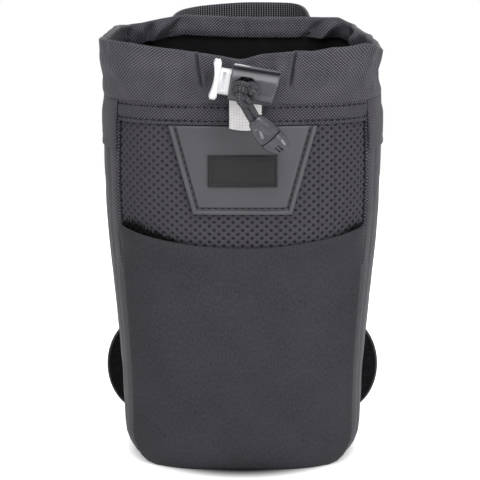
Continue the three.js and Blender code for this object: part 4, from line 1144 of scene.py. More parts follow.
def floor_disc(name, bottom, top, roll):
    """A closed sheet that covers the flat part of the floor."""
    edge = ring_line(floor_round_height, 0.0, 120)
    edge = edge * np.array([flat_half_width / floor_half_width, 1, 1])
    edge[:, 1] = np.where(edge[:, 1] < 0, edge[:, 1] * flat_front / floor_front,
                          edge[:, 1] * flat_back / back_face)
    rows = []
    for share, height in ((0.02, bottom), (0.4, bottom), (0.8, bottom), (1 - roll / 90, bottom),
                          (1, bottom + roll / 3), (1, top - roll / 3), (1 - roll / 90, top),
                          (0.8, top), (0.4, top), (0.02, top)):
        rows.append(edge * np.array([share, share, 0]) + np.array([0, 4 * (1 - share), height]))
    up = np.array([row[:, :2] for row in rows]) * mm
    return face_outwards(grid_piece(name, rows, wrap_columns=True, uv=up), close_holes=True)


foam_sheet = cellular_foam()
pad_heights, pad_turns = from_floor(np.linspace(floor_round_height, band_top - 2.6, 30))
pad_side = [("seam_arc", np.linspace(0.05, 0.96, 12)), ("side", np.linspace(0, 0.97, 14)),
            ("rear_corner", np.linspace(0, 0.96, 8))]
pad_columns = {"front": ([("front", np.linspace(-0.985, 0.985, 50))], 1.0),
               "right": (pad_side, 1.0), "left": (pad_side, -1.0),
               "back": ([("back", np.linspace(0.985, -0.985, 30))], 1.0)}
for word, (columns, side) in pad_columns.items():
    cut = (pad_heights, pad_turns, columns)
    gap = gap_to_sides(wall_grid(*cut, foam_face, side))
    squeeze = foam_squeeze * np.exp(-gap / 4.0)
    squeeze = squeeze + 1.2 * np.exp((pad_heights - pad_heights[-1]) / 2)[:, None]
    pad = wall_panel(f"padding_{word}", cut, foam_face + 0.25 * squeeze, foam_back - squeeze, side)
    fit(pad, foam_sheet, f"foam_{word}")
floor_pad = floor_disc("padding_floor", foam_face, foam_back, 1.2)
fit(floor_pad, foam_sheet, "foam_base")

# Lining: brushed black tricot, sewn over the padding and up to the foot of the collar.
# Its seams lie in the corners, and it puffs out softly between them.
lining_face = 8.0
lining_thickness = 0.7
tuck_depth = 5.2


def brushed_tricot():
    """Brushed nylon tricot: near black, with a short nap that goes paler at a glance."""
    material, tree, shader = new_material(
        "brushed_tricot", roughness=0.92, specular=0.15, sheen=(0.03, 0.4))
    place = add_node(tree, "TexCoord").outputs["Object"]
    nap_size = 0.8  # real nap: 0.3 mm; drawn coarser to show
    nap = add_node(tree, "TexNoise", {"Scale": 1 / (nap_size * mm), "Detail": 4.0},
                   {"Vector": place})
    two_tone(tree, nap, "#070708", "#151518", shader)
    raise_surface(tree, shader, nap, 0.15, 0.7)
    return material


tricot = brushed_tricot()
lining_heights = np.concatenate([pad_heights, band_top - np.array([1.8, 1.0, 0.4, 0.0])])
lining_turns = np.concatenate([pad_turns, np.zeros(4)])
# The near-black tricot on the collar's inner wall below its hem stands partly for the dark inner
# side of the cloth and partly for painted shade deep inside the collar.
collar.data.materials.append(tricot)
dark_inner_from, dark_inner_to = 52, 61  # the rows of the collar's inner wall below its hem
for face in collar.data.polygons[dark_inner_from * collar_columns:dark_inner_to * collar_columns]:
    face.material_index = 1
for word, (columns, side) in pad_columns.items():
    cut = (lining_heights, lining_turns, columns)
    flat = wall_grid(*cut, lining_face, side)
    gap = gap_to_sides(flat)
    puff = 0.9 * (1 - np.exp(-gap / 7.0)) + 0.4 * waves(flat, 30.0, 23) * smooth_rise(gap, 0, 12)
    top_tuck = np.clip((lining_heights - band_top + 4) / 4, 0, 1)[:, None] ** 3
    face = lining_face - tuck_depth * top_tuck
    lining = wall_panel(f"tricot_{word}", cut, face,
                        face + lining_thickness + puff * (1 - top_tuck), side)
    fit(lining, tricot, f"lining_{word}")
floor_lining = floor_disc("tricot_floor", lining_face + 0.1, lining_face + 1.1, 0.5)
fit(floor_lining, tricot, "lining_base")

# Floor panel: ballistic nylon, one flat sheet.
# The rounded edges of all the walls are sewn together round it.
base_thickness = 3.1
base = floor_disc("base_cloth", 0.0, base_thickness, 0.6)
fit(base, body_nylon, "base_panel")

# Back: ballistic nylon over a thin polyethylene sheet that keeps it flat against a belt.
# A band of the same cloth is sewn along its top, under the handle.
back_columns = [("back", -close_edges(61, 0.03))]
back_cut = (*from_floor(np.linspace(floor_round_height, band_top, 40)), back_columns)
flat = wall_grid(*back_cut, 0.0)
gap = gap_to_sides(flat)
soft = 0.25 * waves(flat, 30.0, 31) * smooth_rise(gap, 0, 12)
back_outer = 0.9 * roll_down(gap, 0.9) + np.maximum(0, soft)
back_cloth = wall_panel("back_cloth", back_cut, back_outer, band_thickness)
fit(back_cloth, body_nylon, "back_panel")
strap_heights = np.concatenate([band_bottom + np.array([0.0, 0.1, 0.3, 0.6]),
                                np.linspace(band_bottom + 1.2, band_top, 12)])
fold = roll_down((strap_heights - band_bottom)[:, None], 0.4)
fold = fold + 0.3 * np.exp(-((strap_heights[:, None] - band_bottom - 2.2) / 0.5) ** 2)
strap_cut = (strap_heights, 0 * strap_heights, back_columns)
back_strap = wall_panel("back_band_cloth", strap_cut, yoke_face + fold, -0.15)
fit(back_strap, body_nylon, "back_band")
line, out = wall_line(back_columns, band_bottom + 2.2, yoke_face + 0.25)
stitch_row("back_band_stitches", line[2:-2], out[2:-2])

# Cord lock: a barrel and a sprung button, both moulded, that grip the cords between them.
# The barrel is black acetal; a lip runs along its top, and a round hole passes through it.
lock_place = np.array([1.3, -70.0, 187.6])
lock_tilt = math.radians(9.0)
barrel_left = -7.3
barrel_right = 15.2
barrel_low = -7.1
barrel_top = 8.3
barrel_slant = 2.6
barrel_half_depth = 7.0
lip_low = 9.0
lip_top = 9.6
lip_slope = 0.16
cord_hole_radius = 5.2
bore = ((-20.0, 13.6), (-4.3, 4.3), (-5.4, 7.0))


def moulded_acetal(name, dark, light, roughness):
    """Moulded acetal: smooth and semi-glossy, with faint flow marks, and its sharp edges painted
    lighter as a highlight.
    """
    material, tree, shader = new_material(name, roughness=roughness, ior=1.48, specular=0.5)
    place = add_node(tree, "TexCoord").outputs["Object"]
    flow = add_node(tree, "TexNoise",
                    {"Scale": 1 / (6 * mm), "Detail": 5.0, "Distortion": 0.6},
                    {"Vector": place})
    edges = add_node(tree, "NewGeometry")
    # Painted highlight: the sharp edges are painted lighter.
    painted_edge_highlight = add_node(tree, "MapRange",
                       {"From Min": 0.52, "From Max": 0.7, "To Max": 0.5},
                       {"Value": edges.outputs["Pointiness"]})
    level = add_node(tree, "Math", {"operation": "ADD"}, {0: flow, 1: painted_edge_highlight})
    two_tone(tree, level, dark, light, shader)
    grain = add_node(tree, "TexNoise", {"Scale": 1 / (0.4 * mm), "Detail": 2.0}, {"Vector": place})
    raise_surface(tree, shader, grain, 0.02, 0.4)
    return material


def loops_solid(name, loops):
    """A closed solid through a list of loops with the same number of points."""
    count = len(loops[0])
    vertices = np.concatenate(loops)
    faces = [tuple(range(count))[::-1], tuple(range((len(loops) - 1) * count, len(loops) * count))]
    for a in range(len(loops) - 1):
        for b in range(count):
            b2 = (b + 1) % count
            low, high = a * count, (a + 1) * count
            faces.append((low + b, low + b2, high + b2, high + b))
    return face_outwards(mesh_piece(name, vertices, faces, smooth=False))


def round_box(name, low, high, radius, along=0):
    """A bar along one axis with rounded edges, from its lowest and highest corners."""
    low, high = np.array(low, float), np.array(high, float)
    a, b = [k for k in range(3) if k != along]
    section = []
    for centre_a, centre_b, start in ((high[a] - radius, high[b] - radius, 0),
                                      (low[a] + radius, high[b] - radius, 90),
                                      (low[a] + radius, low[b] + radius, 180),
                                      (high[a] - radius, low[b] + radius, 270)):
        for turn in np.radians(start + np.linspace(0, 90, 7)):
            section.append((centre_a + radius * math.cos(turn),
                            centre_b + radius * math.sin(turn)))
    section = np.array(section)
    middle = section.mean(axis=0)
    edge = min(0.5, radius * 0.6)
    loops = []
    for place, shrink in ((low[along], edge), (low[along] + 0.3 * edge, 0.3 * edge),
                          (low[along] + edge, 0), (low[along] + 1.3 * edge, 0),
                          (high[along] - 1.3 * edge, 0), (high[along] - edge, 0),
                          (high[along] - 0.3 * edge, 0.3 * edge), (high[along], edge)):
        loop = np.zeros((len(section), 3))
        size = np.maximum(np.abs(section - middle).max(axis=0), 1e-6)
        shrunk = middle + (section - middle) * (1 - shrink / size)
        loop[:, a], loop[:, b], loop[:, along] = shrunk[:, 0], shrunk[:, 1], place
        loops.append(loop)
    return loops_solid(name, loops)


def shape_with(piece, kind, **settings):
    """Runs one modifier on a piece and keeps only its result."""
    step = piece.modifiers.new("step", kind)
    for name, value in settings.items():
        setattr(step, name, value)
    bpy.context.view_layer.update()
    shaped = bpy.data.meshes.new_from_object(
        piece.evaluated_get(bpy.context.evaluated_depsgraph_get()))
    piece.modifiers.clear()
    piece.data = shaped


def join_or_cut(piece, others, operation):
    """Adds other solids to a piece or cuts them out of it, and removes them."""
    for other in others:
        shape_with(piece, "BOOLEAN", operation=operation, object=other, solver="EXACT")
        bpy.data.objects.remove(other)


def soften_edges(piece, width):
    """Rounds the hard edges of a moulded piece and shades the rest smooth."""
    shape_with(piece, "BEVEL", width=width * mm, segments=2, limit_method="ANGLE",
               angle_limit=math.radians(32.0), use_clamp_overlap=True)
    piece.data.polygons.foreach_set("use_smooth", [True] * len(piece.data.polygons))
    piece.data.set_sharp_from_angle(angle=math.radians(40.0))
    return piece


def put_on_lock(piece):
    """Moves a piece from the lock's own axes to its tilted place on the collar."""
    place = Matrix.Translation(Vector(lock_place * mm)) @ Matrix.Rotation(lock_tilt, 4, "Y")
    piece.data.transform(place)
    return piece


section = [(-3.0, 8.2), (-4.6, 7.7), (-5.7, 6.4), (-6.6, 4.2), (-7.0, 1.0), (-7.0, -3.0),
           (-6.5, -5.4), (-4.4, -6.9), (0.0, -7.1), (4.6, -6.9), (6.7, -4.8), (7.0, 0.0),
           (6.8, 5.0), (4.6, 7.6), (0.0, 8.2)]
section = smooth_line([(0, y, z) for y, z in section + section[:1]], 0.75)[:-1]
barrel_loops = []
for share, shrink in ((0.0, 0.06), (0.006, 0.02), (0.02, 0.0), (0.04, 0.0), (0.5, 0.0),
                      (0.96, 0.0), (0.98, 0.0), (0.994, 0.02), (1.0, 0.06)):
    loop = section * (1 - shrink)
    right = barrel_right - barrel_slant * (barrel_top - loop[:, 2]) / (barrel_top - barrel_low)
    loop[:, 0] = barrel_left + share * (right - barrel_left)
    barrel_loops.append(loop)
barrel = loops_solid("lock_barrel", barrel_loops)
lip = round_box("lip", (barrel_left, -barrel_half_depth + 1.6, lip_low),
                (barrel_right - 0.2, barrel_half_depth - 0.5, lip_top), 0.28)
lip.data.transform(Matrix(((1, 0, 0, 0), (0, 1, 0, 0),
                           (0, -lip_slope, 1, -lip_slope * (barrel_half_depth - 1.6) * mm),
                           (0, 0, 0, 1))))
stem = round_box("lip_stem", (barrel_left + 0.6, -barrel_half_depth + 4.6, barrel_top - 1.0),
                 (barrel_right - 1.0, barrel_half_depth - 2.0, lip_low + 0.4), 0.6)
hole_loops = []
for y, radius in ((-12.0, cord_hole_radius + 3.0), (-barrel_half_depth, cord_hole_radius + 0.7),
                  (-barrel_half_depth + 0.8, cord_hole_radius), (12.0, cord_hole_radius)):
    ring = np.linspace(0, 2 * math.pi, 8, endpoint=False) + math.pi / 8
    hole_loops.append(np.stack([radius * 1.04 * np.cos(ring), np.full(8, y),
                                radius * 1.04 * np.sin(ring)], axis=1))
hole = loops_solid("hole", hole_loops)
socket = round_box("socket", *zip(*bore), 1.8)
join_or_cut(barrel, [stem, lip], "UNION")
join_or_cut(barrel, [socket, hole], "DIFFERENCE")
soften_edges(put_on_lock(barrel), 0.22)
fit(barrel, moulded_acetal("moulded_black_acetal", "#34343a", "#54545b", 0.27),
    "cord_lock_barrel")

# Lock button: white acetal, with a bowed thumb plate and a stem that slides in the barrel.
# The stem has the second cord hole, and a short moulded slot shows beside the plate.
plate_inner = -12.3
plate_thickness = 4.3
plate_half_height = 9.0
plate_half_depth = 5.5
plate_bow = 1.7
stem_end = 6.4
press_window = ((-7.5, 4.4), (-12.0, 12.0), (-4.4, 5.4))
slot_middle = -10.3
slot_half_width = 0.75
slot_half_height = 4.4
lock_rise = 1.2
plate_loops = []
for y, shrink in ((-1.0, 0.9), (-0.93, 0.35), (-0.8, 0.0), (0.8, 0.0), (0.93, 0.35), (1.0, 0.9)):
    half = plate_half_height - shrink
    heights = np.linspace(-1, 1, 15)
    outer_x = plate_inner - plate_thickness + plate_bow * (1 - heights ** 2) + shrink * 0.6
    outer_x = outer_x + 1.1 * np.clip((np.abs(heights) - 0.82) / 0.18, 0, 1) ** 2
    inner_x = np.full(15, plate_inner - shrink * 0.3)
    inner_x = inner_x - 0.8 * np.clip((np.abs(heights) - 0.86) / 0.14, 0, 1) ** 2
    x = np.concatenate([outer_x, inner_x[::-1]])
    z = lock_rise + half * np.concatenate([heights, heights[::-1]])
    plate_loops.append(np.stack([x, np.full(30, y * plate_half_depth), z], axis=1))
button = loops_solid("lock_button", plate_loops)
button_stem = round_box("stem", (plate_inner - 1.5, -4.0, lock_rise - 6.3),
                        (stem_end, 4.0, lock_rise + 5.5), 1.7)
window = round_box("window", *zip(*press_window), 0.8, along=1)
slot = round_box("slot", (slot_middle - slot_half_width, -6.0, lock_rise - slot_half_height),
                 (slot_middle + slot_half_width, -1.6, lock_rise + slot_half_height), 0.4, along=1)
join_or_cut(button, [button_stem], "UNION")
join_or_cut(button, [window, slot], "DIFFERENCE")
soften_edges(put_on_lock(button), 0.2)
fit(button, moulded_acetal("moulded_white_acetal", "#e6e6ea", "#fafafc", 0.33),
    "cord_lock_plunger", "lock_plunger")


def spring_wire():
    """Drawn stainless wire: bright, with fine draw marks along it. Hidden in the barrel."""
    material, tree, shader = new_material("drawn_steel_wire", roughness=0.3, metallic=1.0)
    place = add_node(tree, "TexCoord").outputs["Object"]
    marks = add_node(tree, "TexNoise", {"Scale": 1 / (0.3 * mm), "Detail": 2.0}, {"Vector": place})
    two_tone(tree, marks, "#a8a8aa", "#c8c8ca", shader)
    return material


def dress_node(node, material):
    """Gives a solid that is kept as it is its finish."""
    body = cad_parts[node]
    body.data.materials.clear()
    body.data.materials.append(material)


dress_node("cord_lock_spring", spring_wire())

# Drawcord: the same braided cord, once round the tunnel in the collar and out through the lock.
# Both ends are tied in one overhand knot in front of the lock.
strand_places = (-1.0, 1.95)
strand_start = (-61.5, 189.2)
strand_end = (-77.4, 188.1)
knot_size = 1.5
knot_depth = 2.3
rise = 1 - 0.68 * hem / collar_height
inside = np.array([collar_bulge(r)[k] for k, r in enumerate(rise)])
inside = 0.5 * (inside + 1.4 * ruffle * rise * gather - hem_roll - 0.7)
inside = collar_line(rise) + rim_out * inside[:, None]
start_side = [np.argmin(np.abs(polar(inside) - a)) for a in (0.04, -0.04)]
loop = np.roll(inside, -start_side[0], axis=0)
loop = loop[:(start_side[1] - start_side[0]) % len(loop)]
strands = []
for x, end in ((strand_places[1], loop[0]), (strand_places[0], loop[-1])):
    strands.append(smooth_line([(x, strand_end[0], strand_end[1]),
                                (x, -70.0, 188.6), (x, strand_start[0], strand_start[1]),
                                end + np.array([0, 0.4, 0])], 0.4))
round_tunnel = np.concatenate([strands[0][:-1], loop[2:-2], strands[1][::-1][1:]])
drawcord = braided_cord("drawcord", smooth_line(round_tunnel[::4], 0.8), 2.4, 16)
fit(drawcord, cord_sheath, "draw_cord")
turn = np.linspace(0.55, 5.6, 40)
knot_loop = np.stack([knot_size * (np.sin(turn) + 2 * np.sin(2 * turn)),
                      -knot_depth * np.sin(3 * turn) - 0.6,
                      knot_size * (np.cos(turn) - 2 * np.cos(2 * turn)) - 0.4], axis=1)
knot_line = smooth_line([(-1.6, 5.0, 1.8), (-0.6, 3.2, 1.0)] + list(knot_loop)
                        + [(0.9, -0.8, -3.2), (1.7, -0.4, -4.8)], 0.25)
tangents = unit(np.gradient(knot_line, axis=0))
beside = unit(np.cross(tangents, np.array([0.0, 1.0, 0.0])) + np.array([0.0, 0.001, 0.0]))
for sign, word in both_sides:
    twist = np.linspace(0.2, 5.0, len(knot_line))[:, None]
    offset = 1.25 * (np.cos(twist) * beside + np.sin(twist) * np.cross(tangents, beside))
    path = knot_middle + knot_line + sign * offset
    knot_strand = braided_cord(f"knot_strand_{word}", path, cord_diameter)
    knot_strand.data.materials.append(cord_sheath)
    if sign < 0:
        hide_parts("cord_knot")
    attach(knot_strand, "pouch")

# Cord end: two halves of black acetal that close over the tied ends of the tails.
# Each face has a thumb scoop, and the halves meet at a fine parting line.
end_half_width = 5.75
end_half_depth = 3.9
end_parting = 0.58
end_gap = 0.3
end_widths = ((0.0, 0.56), (0.04, 0.68), (0.12, 0.78), (0.3, 0.95), (0.48, 1.0), (0.58, 1.0),
              (0.74, 0.95), (0.88, 0.8), (0.96, 0.6), (1.0, 0.36))


def cord_end_relief(share, across):
    """Depth of the thumb scoop and slots and height of the catch, in millimetres."""
    floor = np.interp(share, [0.1, 0.2, 0.28, 0.52, 0.56], [0, 1.7, 1.9, 0.45, 0])
    floor = floor * np.clip(1 - ((across + 0.7) / 2.9) ** 2, 0, 1)
    slots = np.maximum(np.exp(-(across / 0.3) ** 4), np.exp(-((across + 1.5) / 0.3) ** 4))
    slots = 0.9 * slots * smooth_rise(share, 0.77, 0.79) * smooth_rise(-share, -0.95, -0.93)
    catch = 0.7 * np.exp(-((share - 0.64) * 20 / 0.8) ** 4) * np.exp(-((across - 1.5) / 0.9) ** 4)
    return floor + slots - catch


def cord_end_part(name, from_share, to_share, steps=64):
    turns = np.linspace(0, 2 * math.pi, 144, endpoint=False)
    known = np.array(end_widths)
    shares = np.linspace(from_share, to_share, steps)
    edge = np.array([0.0, 0.1, 0.3, 0.6]) / cord_end_length
    shares = np.concatenate([from_share + edge, shares[1:-1], to_share - edge[::-1]])
    shrink = np.concatenate([[0.93, 0.97, 0.99, 1.0], np.ones(steps - 2), [1.0, 0.99, 0.97, 0.93]])
    rows = []
    for share, scale in zip(shares, shrink):
        width = np.interp(share, known[:, 0], known[:, 1])
        across = np.sign(np.cos(turns)) * np.abs(np.cos(turns)) ** 0.85
        front = np.sign(np.sin(turns)) * np.abs(np.sin(turns)) ** 0.75
        across = end_half_width * width * scale * across
        depth = end_half_depth * (0.55 + 0.45 * width) * scale * front
        relief = cord_end_relief(share, across) * np.clip(front * 3 - 0.6, 0, 1)
        lean = 0.9 * smooth_rise(share, 0.6, 1.0)
        rows.append(cord_end_start + share * cord_end_length * into_end
                    + (across + lean)[:, None] * beside_end
                    - (depth - relief)[:, None] * np.array([0.0, 1.0, 0.0]))
    part = face_outwards(grid_piece(name, rows, wrap_columns=True), close_holes=True)
    part.data.set_sharp_from_angle(angle=math.radians(42.0))
    return part


end_acetal = moulded_acetal("moulded_acetal_cord_end", "#2c2c32", "#4c4c55", 0.2)
half_gap = end_gap / 2 / cord_end_length
for node, low, high in (("cord_end_shell", 0.0, end_parting - half_gap),
                        ("cord_end_cap", end_parting + half_gap, 1.0)):
    part = cord_end_part(node.replace("cord_end", "end"), low, high)
    fit(part, end_acetal, node, "cord_end")
for tail, path, length in tail_pieces:
    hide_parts(tail.name.replace("tail", "cord_tail"))
    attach(tail, "cord_end")

# Lock tab: a short length of white polyester grosgrain behind the lock, sewn to the hem band.
# It is plain weave, so its face is a fine even grid.
tab_left = -6.2
tab_right = 8.8
tab_bottom = 166.0
tab_top = 186.0
tab_front = -62.15
tab_thickness = 1.7


def white_grosgrain():
    """Undyed grosgrain: matt white yarn, with the furrows between its fine ribs painted grey as
    shade.
    """
    material, tree, shader = new_material("white_grosgrain", roughness=0.85, specular=0.3)
    rib = 1.35  # real ribs: 1 mm; drawn wider to show
    place = add_node(tree, "UVMap")
    # The mortar between the ribs is the painted shade in the furrows.
    ribs = add_node(tree, "TexBrick", {
        "Scale": 1.0, "Color1": colour("#fbf9f9"), "Color2": colour("#f0edee"),
        "Mortar": colour("#e2dee0"), "Mortar Size": 0.1 * mm, "Brick Width": rib * mm,
        "Row Height": rib * mm, "offset": 0.0}, {"Vector": place})
    tree.links.new(ribs.outputs["Color"], shader.inputs["Base Color"])
    raise_surface(tree, shader, ribs.outputs["Fac"], -0.12, 0.8)
    return material


tab_shares, tab_rises = (np.concatenate([[0, 0.01, 0.03], np.linspace(0.07, 0.93, count),
                                         [0.97, 0.99, 1]]) for count in (24, 30))
tab_x = mix(tab_left, tab_right, tab_shares)[None]
edge = np.minimum(np.minimum(tab_shares, 1 - tab_shares)[None] * (tab_right - tab_left),
                  np.minimum(tab_rises, 1 - tab_rises)[:, None] * (tab_top - tab_bottom))
tab_z = mix(tab_bottom, tab_top, tab_rises)[:, None]
tab_z = tab_z + (0.9 * (2 * tab_shares - 1) ** 2)[None] * (1 - tab_rises[:, None])
tab_lean = -0.55 * smooth_rise(tab_z, 176, 186)
tab_face = tab_front + tab_lean + 0.5 * roll_down(edge, 0.6)
tab_face = tab_face + 0.6 * ((2 * tab_shares - 1) ** 2)[None]
tab_outer = np.stack(np.broadcast_arrays(tab_x, tab_face, tab_z), axis=-1)
tab_inner = tab_outer + np.array([0.0, tab_thickness, 0.0])
tab = sewn_panel("grosgrain_tab", tab_outer, tab_inner)
fit(tab, white_grosgrain(), "lock_anchor_tab")

# Carry handle: heavy black nylon webbing, 25 mm wide, that arches behind the collar.
# Its ends are turned down, heat-cut and sewn through the collar.
webbing_width = 25.0
webbing_thickness = 2.0
webbing_rib = 1.27
handle_wall = 57.3
handle_middle = 190.8
handle_route = [
    (33.3, 57.3, 190.8), (31.9, 57.5, 190.8), (31.3, 59.0, 190.9), (32.2, 62.0, 191.6),
    (33.5, 66.5, 193.5), (32.6, 72.0, 196.2), (30.4, 77.0, 198.4), (26.2, 81.6, 199.5),
    (18.0, 85.0, 199.7), (0.0, 86.2, 199.6), (-18.0, 85.0, 198.3), (-26.5, 81.5, 197.3),
    (-31.0, 77.0, 196.4), (-34.0, 72.0, 194.8), (-35.2, 66.5, 192.8), (-33.8, 62.0, 191.4),
    (-31.6, 59.0, 190.9), (-31.9, 57.5, 190.8), (-33.3, 57.3, 190.8)]
anchor_start = 33.3
anchor_end = 46.8
sewn_cross = [(34.8, 180.5), (45.3, 201.1), (34.8, 201.1), (45.3, 180.5), (34.8, 180.5),
              (34.8, 201.1), (45.3, 201.1), (45.3, 180.5)]


def nylon_webbing(name, dark, light):
    """Ribbed nylon webbing: thick yarns in rows, their tops painted lighter as a highlight and the
    furrows between them darker as painted shade.
    """
    material, tree, shader = new_material(
        name, roughness=0.62, ior=1.53, specular=0.2, sheen=(0.02, 0.4))
    place = add_node(tree, "UVMap")
    parts = add_node(tree, "SeparateXYZ", {}, {"Vector": place})
    yarns = []
    for axis, pitch, shift in (("X", webbing_rib, 0.0), ("Y", webbing_rib * 0.8, 0.5)):
        turn = add_node(tree, "Math",
                        {"operation": "MULTIPLY_ADD", 1: math.pi / (pitch * mm), 2: shift},
                        {0: parts.outputs[axis]})
        wave = add_node(tree, "Math", {"operation": "SINE"}, {0: turn})
        yarns.append(add_node(tree, "Math", {"operation": "ABSOLUTE"}, {0: wave}))
    level = add_node(tree, "Math", {"operation": "MULTIPLY_ADD", 1: 0.35},
                     {0: yarns[1], 2: yarns[0]})
    spread = add_node(tree, "MapRange", {"From Min": 0.88, "From Max": 1.38}, {"Value": level})
    # Painted highlight on the yarn tops, painted shade in the furrows.
    two_tone(tree, spread, dark, light, shader)
    raise_surface(tree, shader, spread, 0.25, 0.9)
    return material


def webbing_strip(name, line, out):
    """Ribbed webbing along a line; its width is upright, and out is its outer side."""
    edge_steps = np.array([0.0, 0.03, 0.08, 0.15])
    shares = np.concatenate([edge_steps, np.linspace(0.2, 0.8, 14), 1 - edge_steps[::-1]]) * 2 - 1
    edge_gap = (1 - np.abs(shares)) * webbing_width / 2
    along = lengths_along(line)
    ribs = 0.16 * np.abs(np.sin(math.pi * along / webbing_rib))
    half = webbing_thickness / 2 - 0.4 * roll_down(edge_gap, 0.8)[:, None]
    middle = line[None] + (shares * webbing_width / 2)[:, None, None] * np.array([0.0, 0.0, 1.0])
    raised = out[None] * (half - 0.16 + ribs[None])[:, :, None]
    u = along - along[-1] / 2
    v = np.concatenate([shares, shares[::-1]]) * webbing_width / 2
    uv = np.stack(np.meshgrid(u, v), axis=2) * mm
    return sewn_panel(name, middle + raised, middle - raised, uv)


line = smooth_line(handle_route, 0.32)
tangent = unit(np.gradient(line, axis=0))
handle_out = unit(np.cross(tangent, np.array([0.0, 0.0, 1.0])))
handle_out = handle_out * np.sign(handle_out[len(line) // 2, 1])
webbing = nylon_webbing("black_nylon_webbing", "#020202", "#84818a")
handle = webbing_strip("webbing_handle", line, handle_out)
fit(handle, webbing, "carry_handle", "handle")
for side, word in both_sides:
    x = side * np.arange(anchor_start, anchor_end + 0.1, 0.32)
    line = np.stack([x, np.full(len(x), handle_wall), np.full(len(x), handle_middle)], axis=1)
    anchor_out = np.tile([0.0, 1.0, 0.0], (len(x), 1))
    anchor = webbing_strip(f"webbing_end_{word}", line, anchor_out)
    fit(anchor, webbing, f"handle_anchor_{word}")
    sewn = straight_runs(sewn_cross, [20] * 7)
    sewn = np.stack([side * sewn[:, 0], np.full(len(sewn), handle_wall + 1.05), sewn[:, 1]],
                    axis=1)
    stitch_row(f"webbing_stitches_{word}", sewn, np.tile([0.0, 1.0, 0.0], (len(sewn), 1)))

# Belt flap: two faces of cloth over a stiff sheet, bound round the edge with woven tape.
# It hangs behind the back and closes on a belt; its wide foot shows as an ear at either side.
closed_y = 59.3
open_y = 63.8
neck_half_width = 42.0
bar_half_width = 69.5
bar_radius = 23.3
bar_half_height = 26.0
bar_middle = 28.7
flap_top = 166.1
flap_bends = (0.0, 47.0, 53.0, 158.0, flap_top)
fillet_radius = 3.5
binding_width = 1.6


def flap_outline(inset):
    """The right edge of the flap in x and z from its foot up, set in from the edge."""
    radius = bar_radius - inset
    turns = np.radians(np.linspace(-90, 90, 41))
    foot_arc = np.stack([bar_half_width - bar_radius + radius * np.cos(turns) ** 0.9,
                         bar_middle + (bar_half_height - inset) * np.sin(turns)], axis=1)
    turns = np.radians(np.linspace(270, 180, 9))
    radius = fillet_radius + inset
    fillet = np.stack([neck_half_width + fillet_radius + radius * np.cos(turns),
                       bar_middle + bar_half_height + fillet_radius + radius * np.sin(turns)],
                      axis=1)
    neck = np.linspace(fillet[-1, 1] + 2, flap_top - inset, 45)
    neck = np.stack([np.full(45, neck_half_width - inset), neck], axis=1)
    return np.concatenate([foot_arc, fillet, neck])


def flap_depth(z):
    """Where the flap's inner side lies at each height: flat to the wall, bowed over a belt."""
    return np.interp(z, flap_bends, [closed_y, closed_y, open_y, open_y, closed_y])


def flap_layer(name, inset, near, far, puff=0.0):
    """A closed layer of the flap between two depths behind its inner side."""
    edge = flap_outline(inset)
    x = edge[:, :1] * close_edges(41, 0.05)[None]
    z = edge[:, 1:] + 0 * x
    gap = np.minimum(edge[:, :1] - np.abs(x), np.minimum(z - edge[0, 1], edge[-1, 1] - z))
    flat = np.stack([x, 0 * x, z], axis=-1)
    soft = puff * smooth_rise(gap, 0, 9) * (0.5 + waves(flat, 20.0, 41) + waves(flat, 9.0, 43) / 2)
    base = flap_depth(z)
    sides = [np.stack([x, base + depth, z], axis=-1) for depth in (near, far + soft)]
    cloth = np.stack([x, z], axis=-1) * mm
    return sewn_panel(name, *sides, np.concatenate([cloth, cloth[::-1]]))


def brushed_loop_cloth():
    """Brushed nylon loop: near-black pile that stands in small tufts and swallows light."""
    material, tree, shader = new_material(
        "brushed_loop_nylon", roughness=0.95, specular=0.15, sheen=(0.05, 0.5))
    place = add_node(tree, "TexCoord").outputs["Object"]
    tuft_size = 1.4  # real tufts: 0.7 mm; drawn larger to show
    tufts = add_node(tree, "TexNoise",
                     {"Scale": 1 / (tuft_size * mm), "Detail": 5.0, "Roughness": 0.7},
                     {"Vector": place})
    spread = add_node(tree, "MapRange", {"From Min": 0.35, "From Max": 0.7}, {"Value": tufts})
    two_tone(tree, spread, "#060607", "#1c1b1e", shader)
    raise_surface(tree, shader, tufts, 0.5, 0.9)
    return material


def stiff_polyethylene():
    """Sawn polyethylene sheet: dull black with fine straight scratches."""
    material, tree, shader = new_material("polyethylene_sheet", roughness=0.55, ior=1.51)
    place = add_node(tree, "TexCoord").outputs["Object"]
    stretched = add_node(tree, "Mapping", {"Scale": (60.0, 60.0, 900.0)}, {"Vector": place})
    scratches = add_node(tree, "TexNoise", {"Scale": 1.0, "Detail": 4.0}, {"Vector": stretched})
    two_tone(tree, scratches, "#161618", "#2c2c2f", shader)
    raise_surface(tree, shader, scratches, 0.02, 0.4)
    return material


loop_cloth = brushed_loop_cloth()
fit(flap_layer("flap_near_cloth", 1.0, 0.0, 1.0), loop_cloth, "flap_inner_face",
    "belt_flap")
dress_node("flap_stiffener", stiff_polyethylene())
dress_node("back_stiffener", stiff_polyethylene())
fit(flap_layer("flap_far_cloth", 1.9, 2.8, 3.6, puff=0.3), body_nylon, "flap_outer_face",
    "belt_flap")


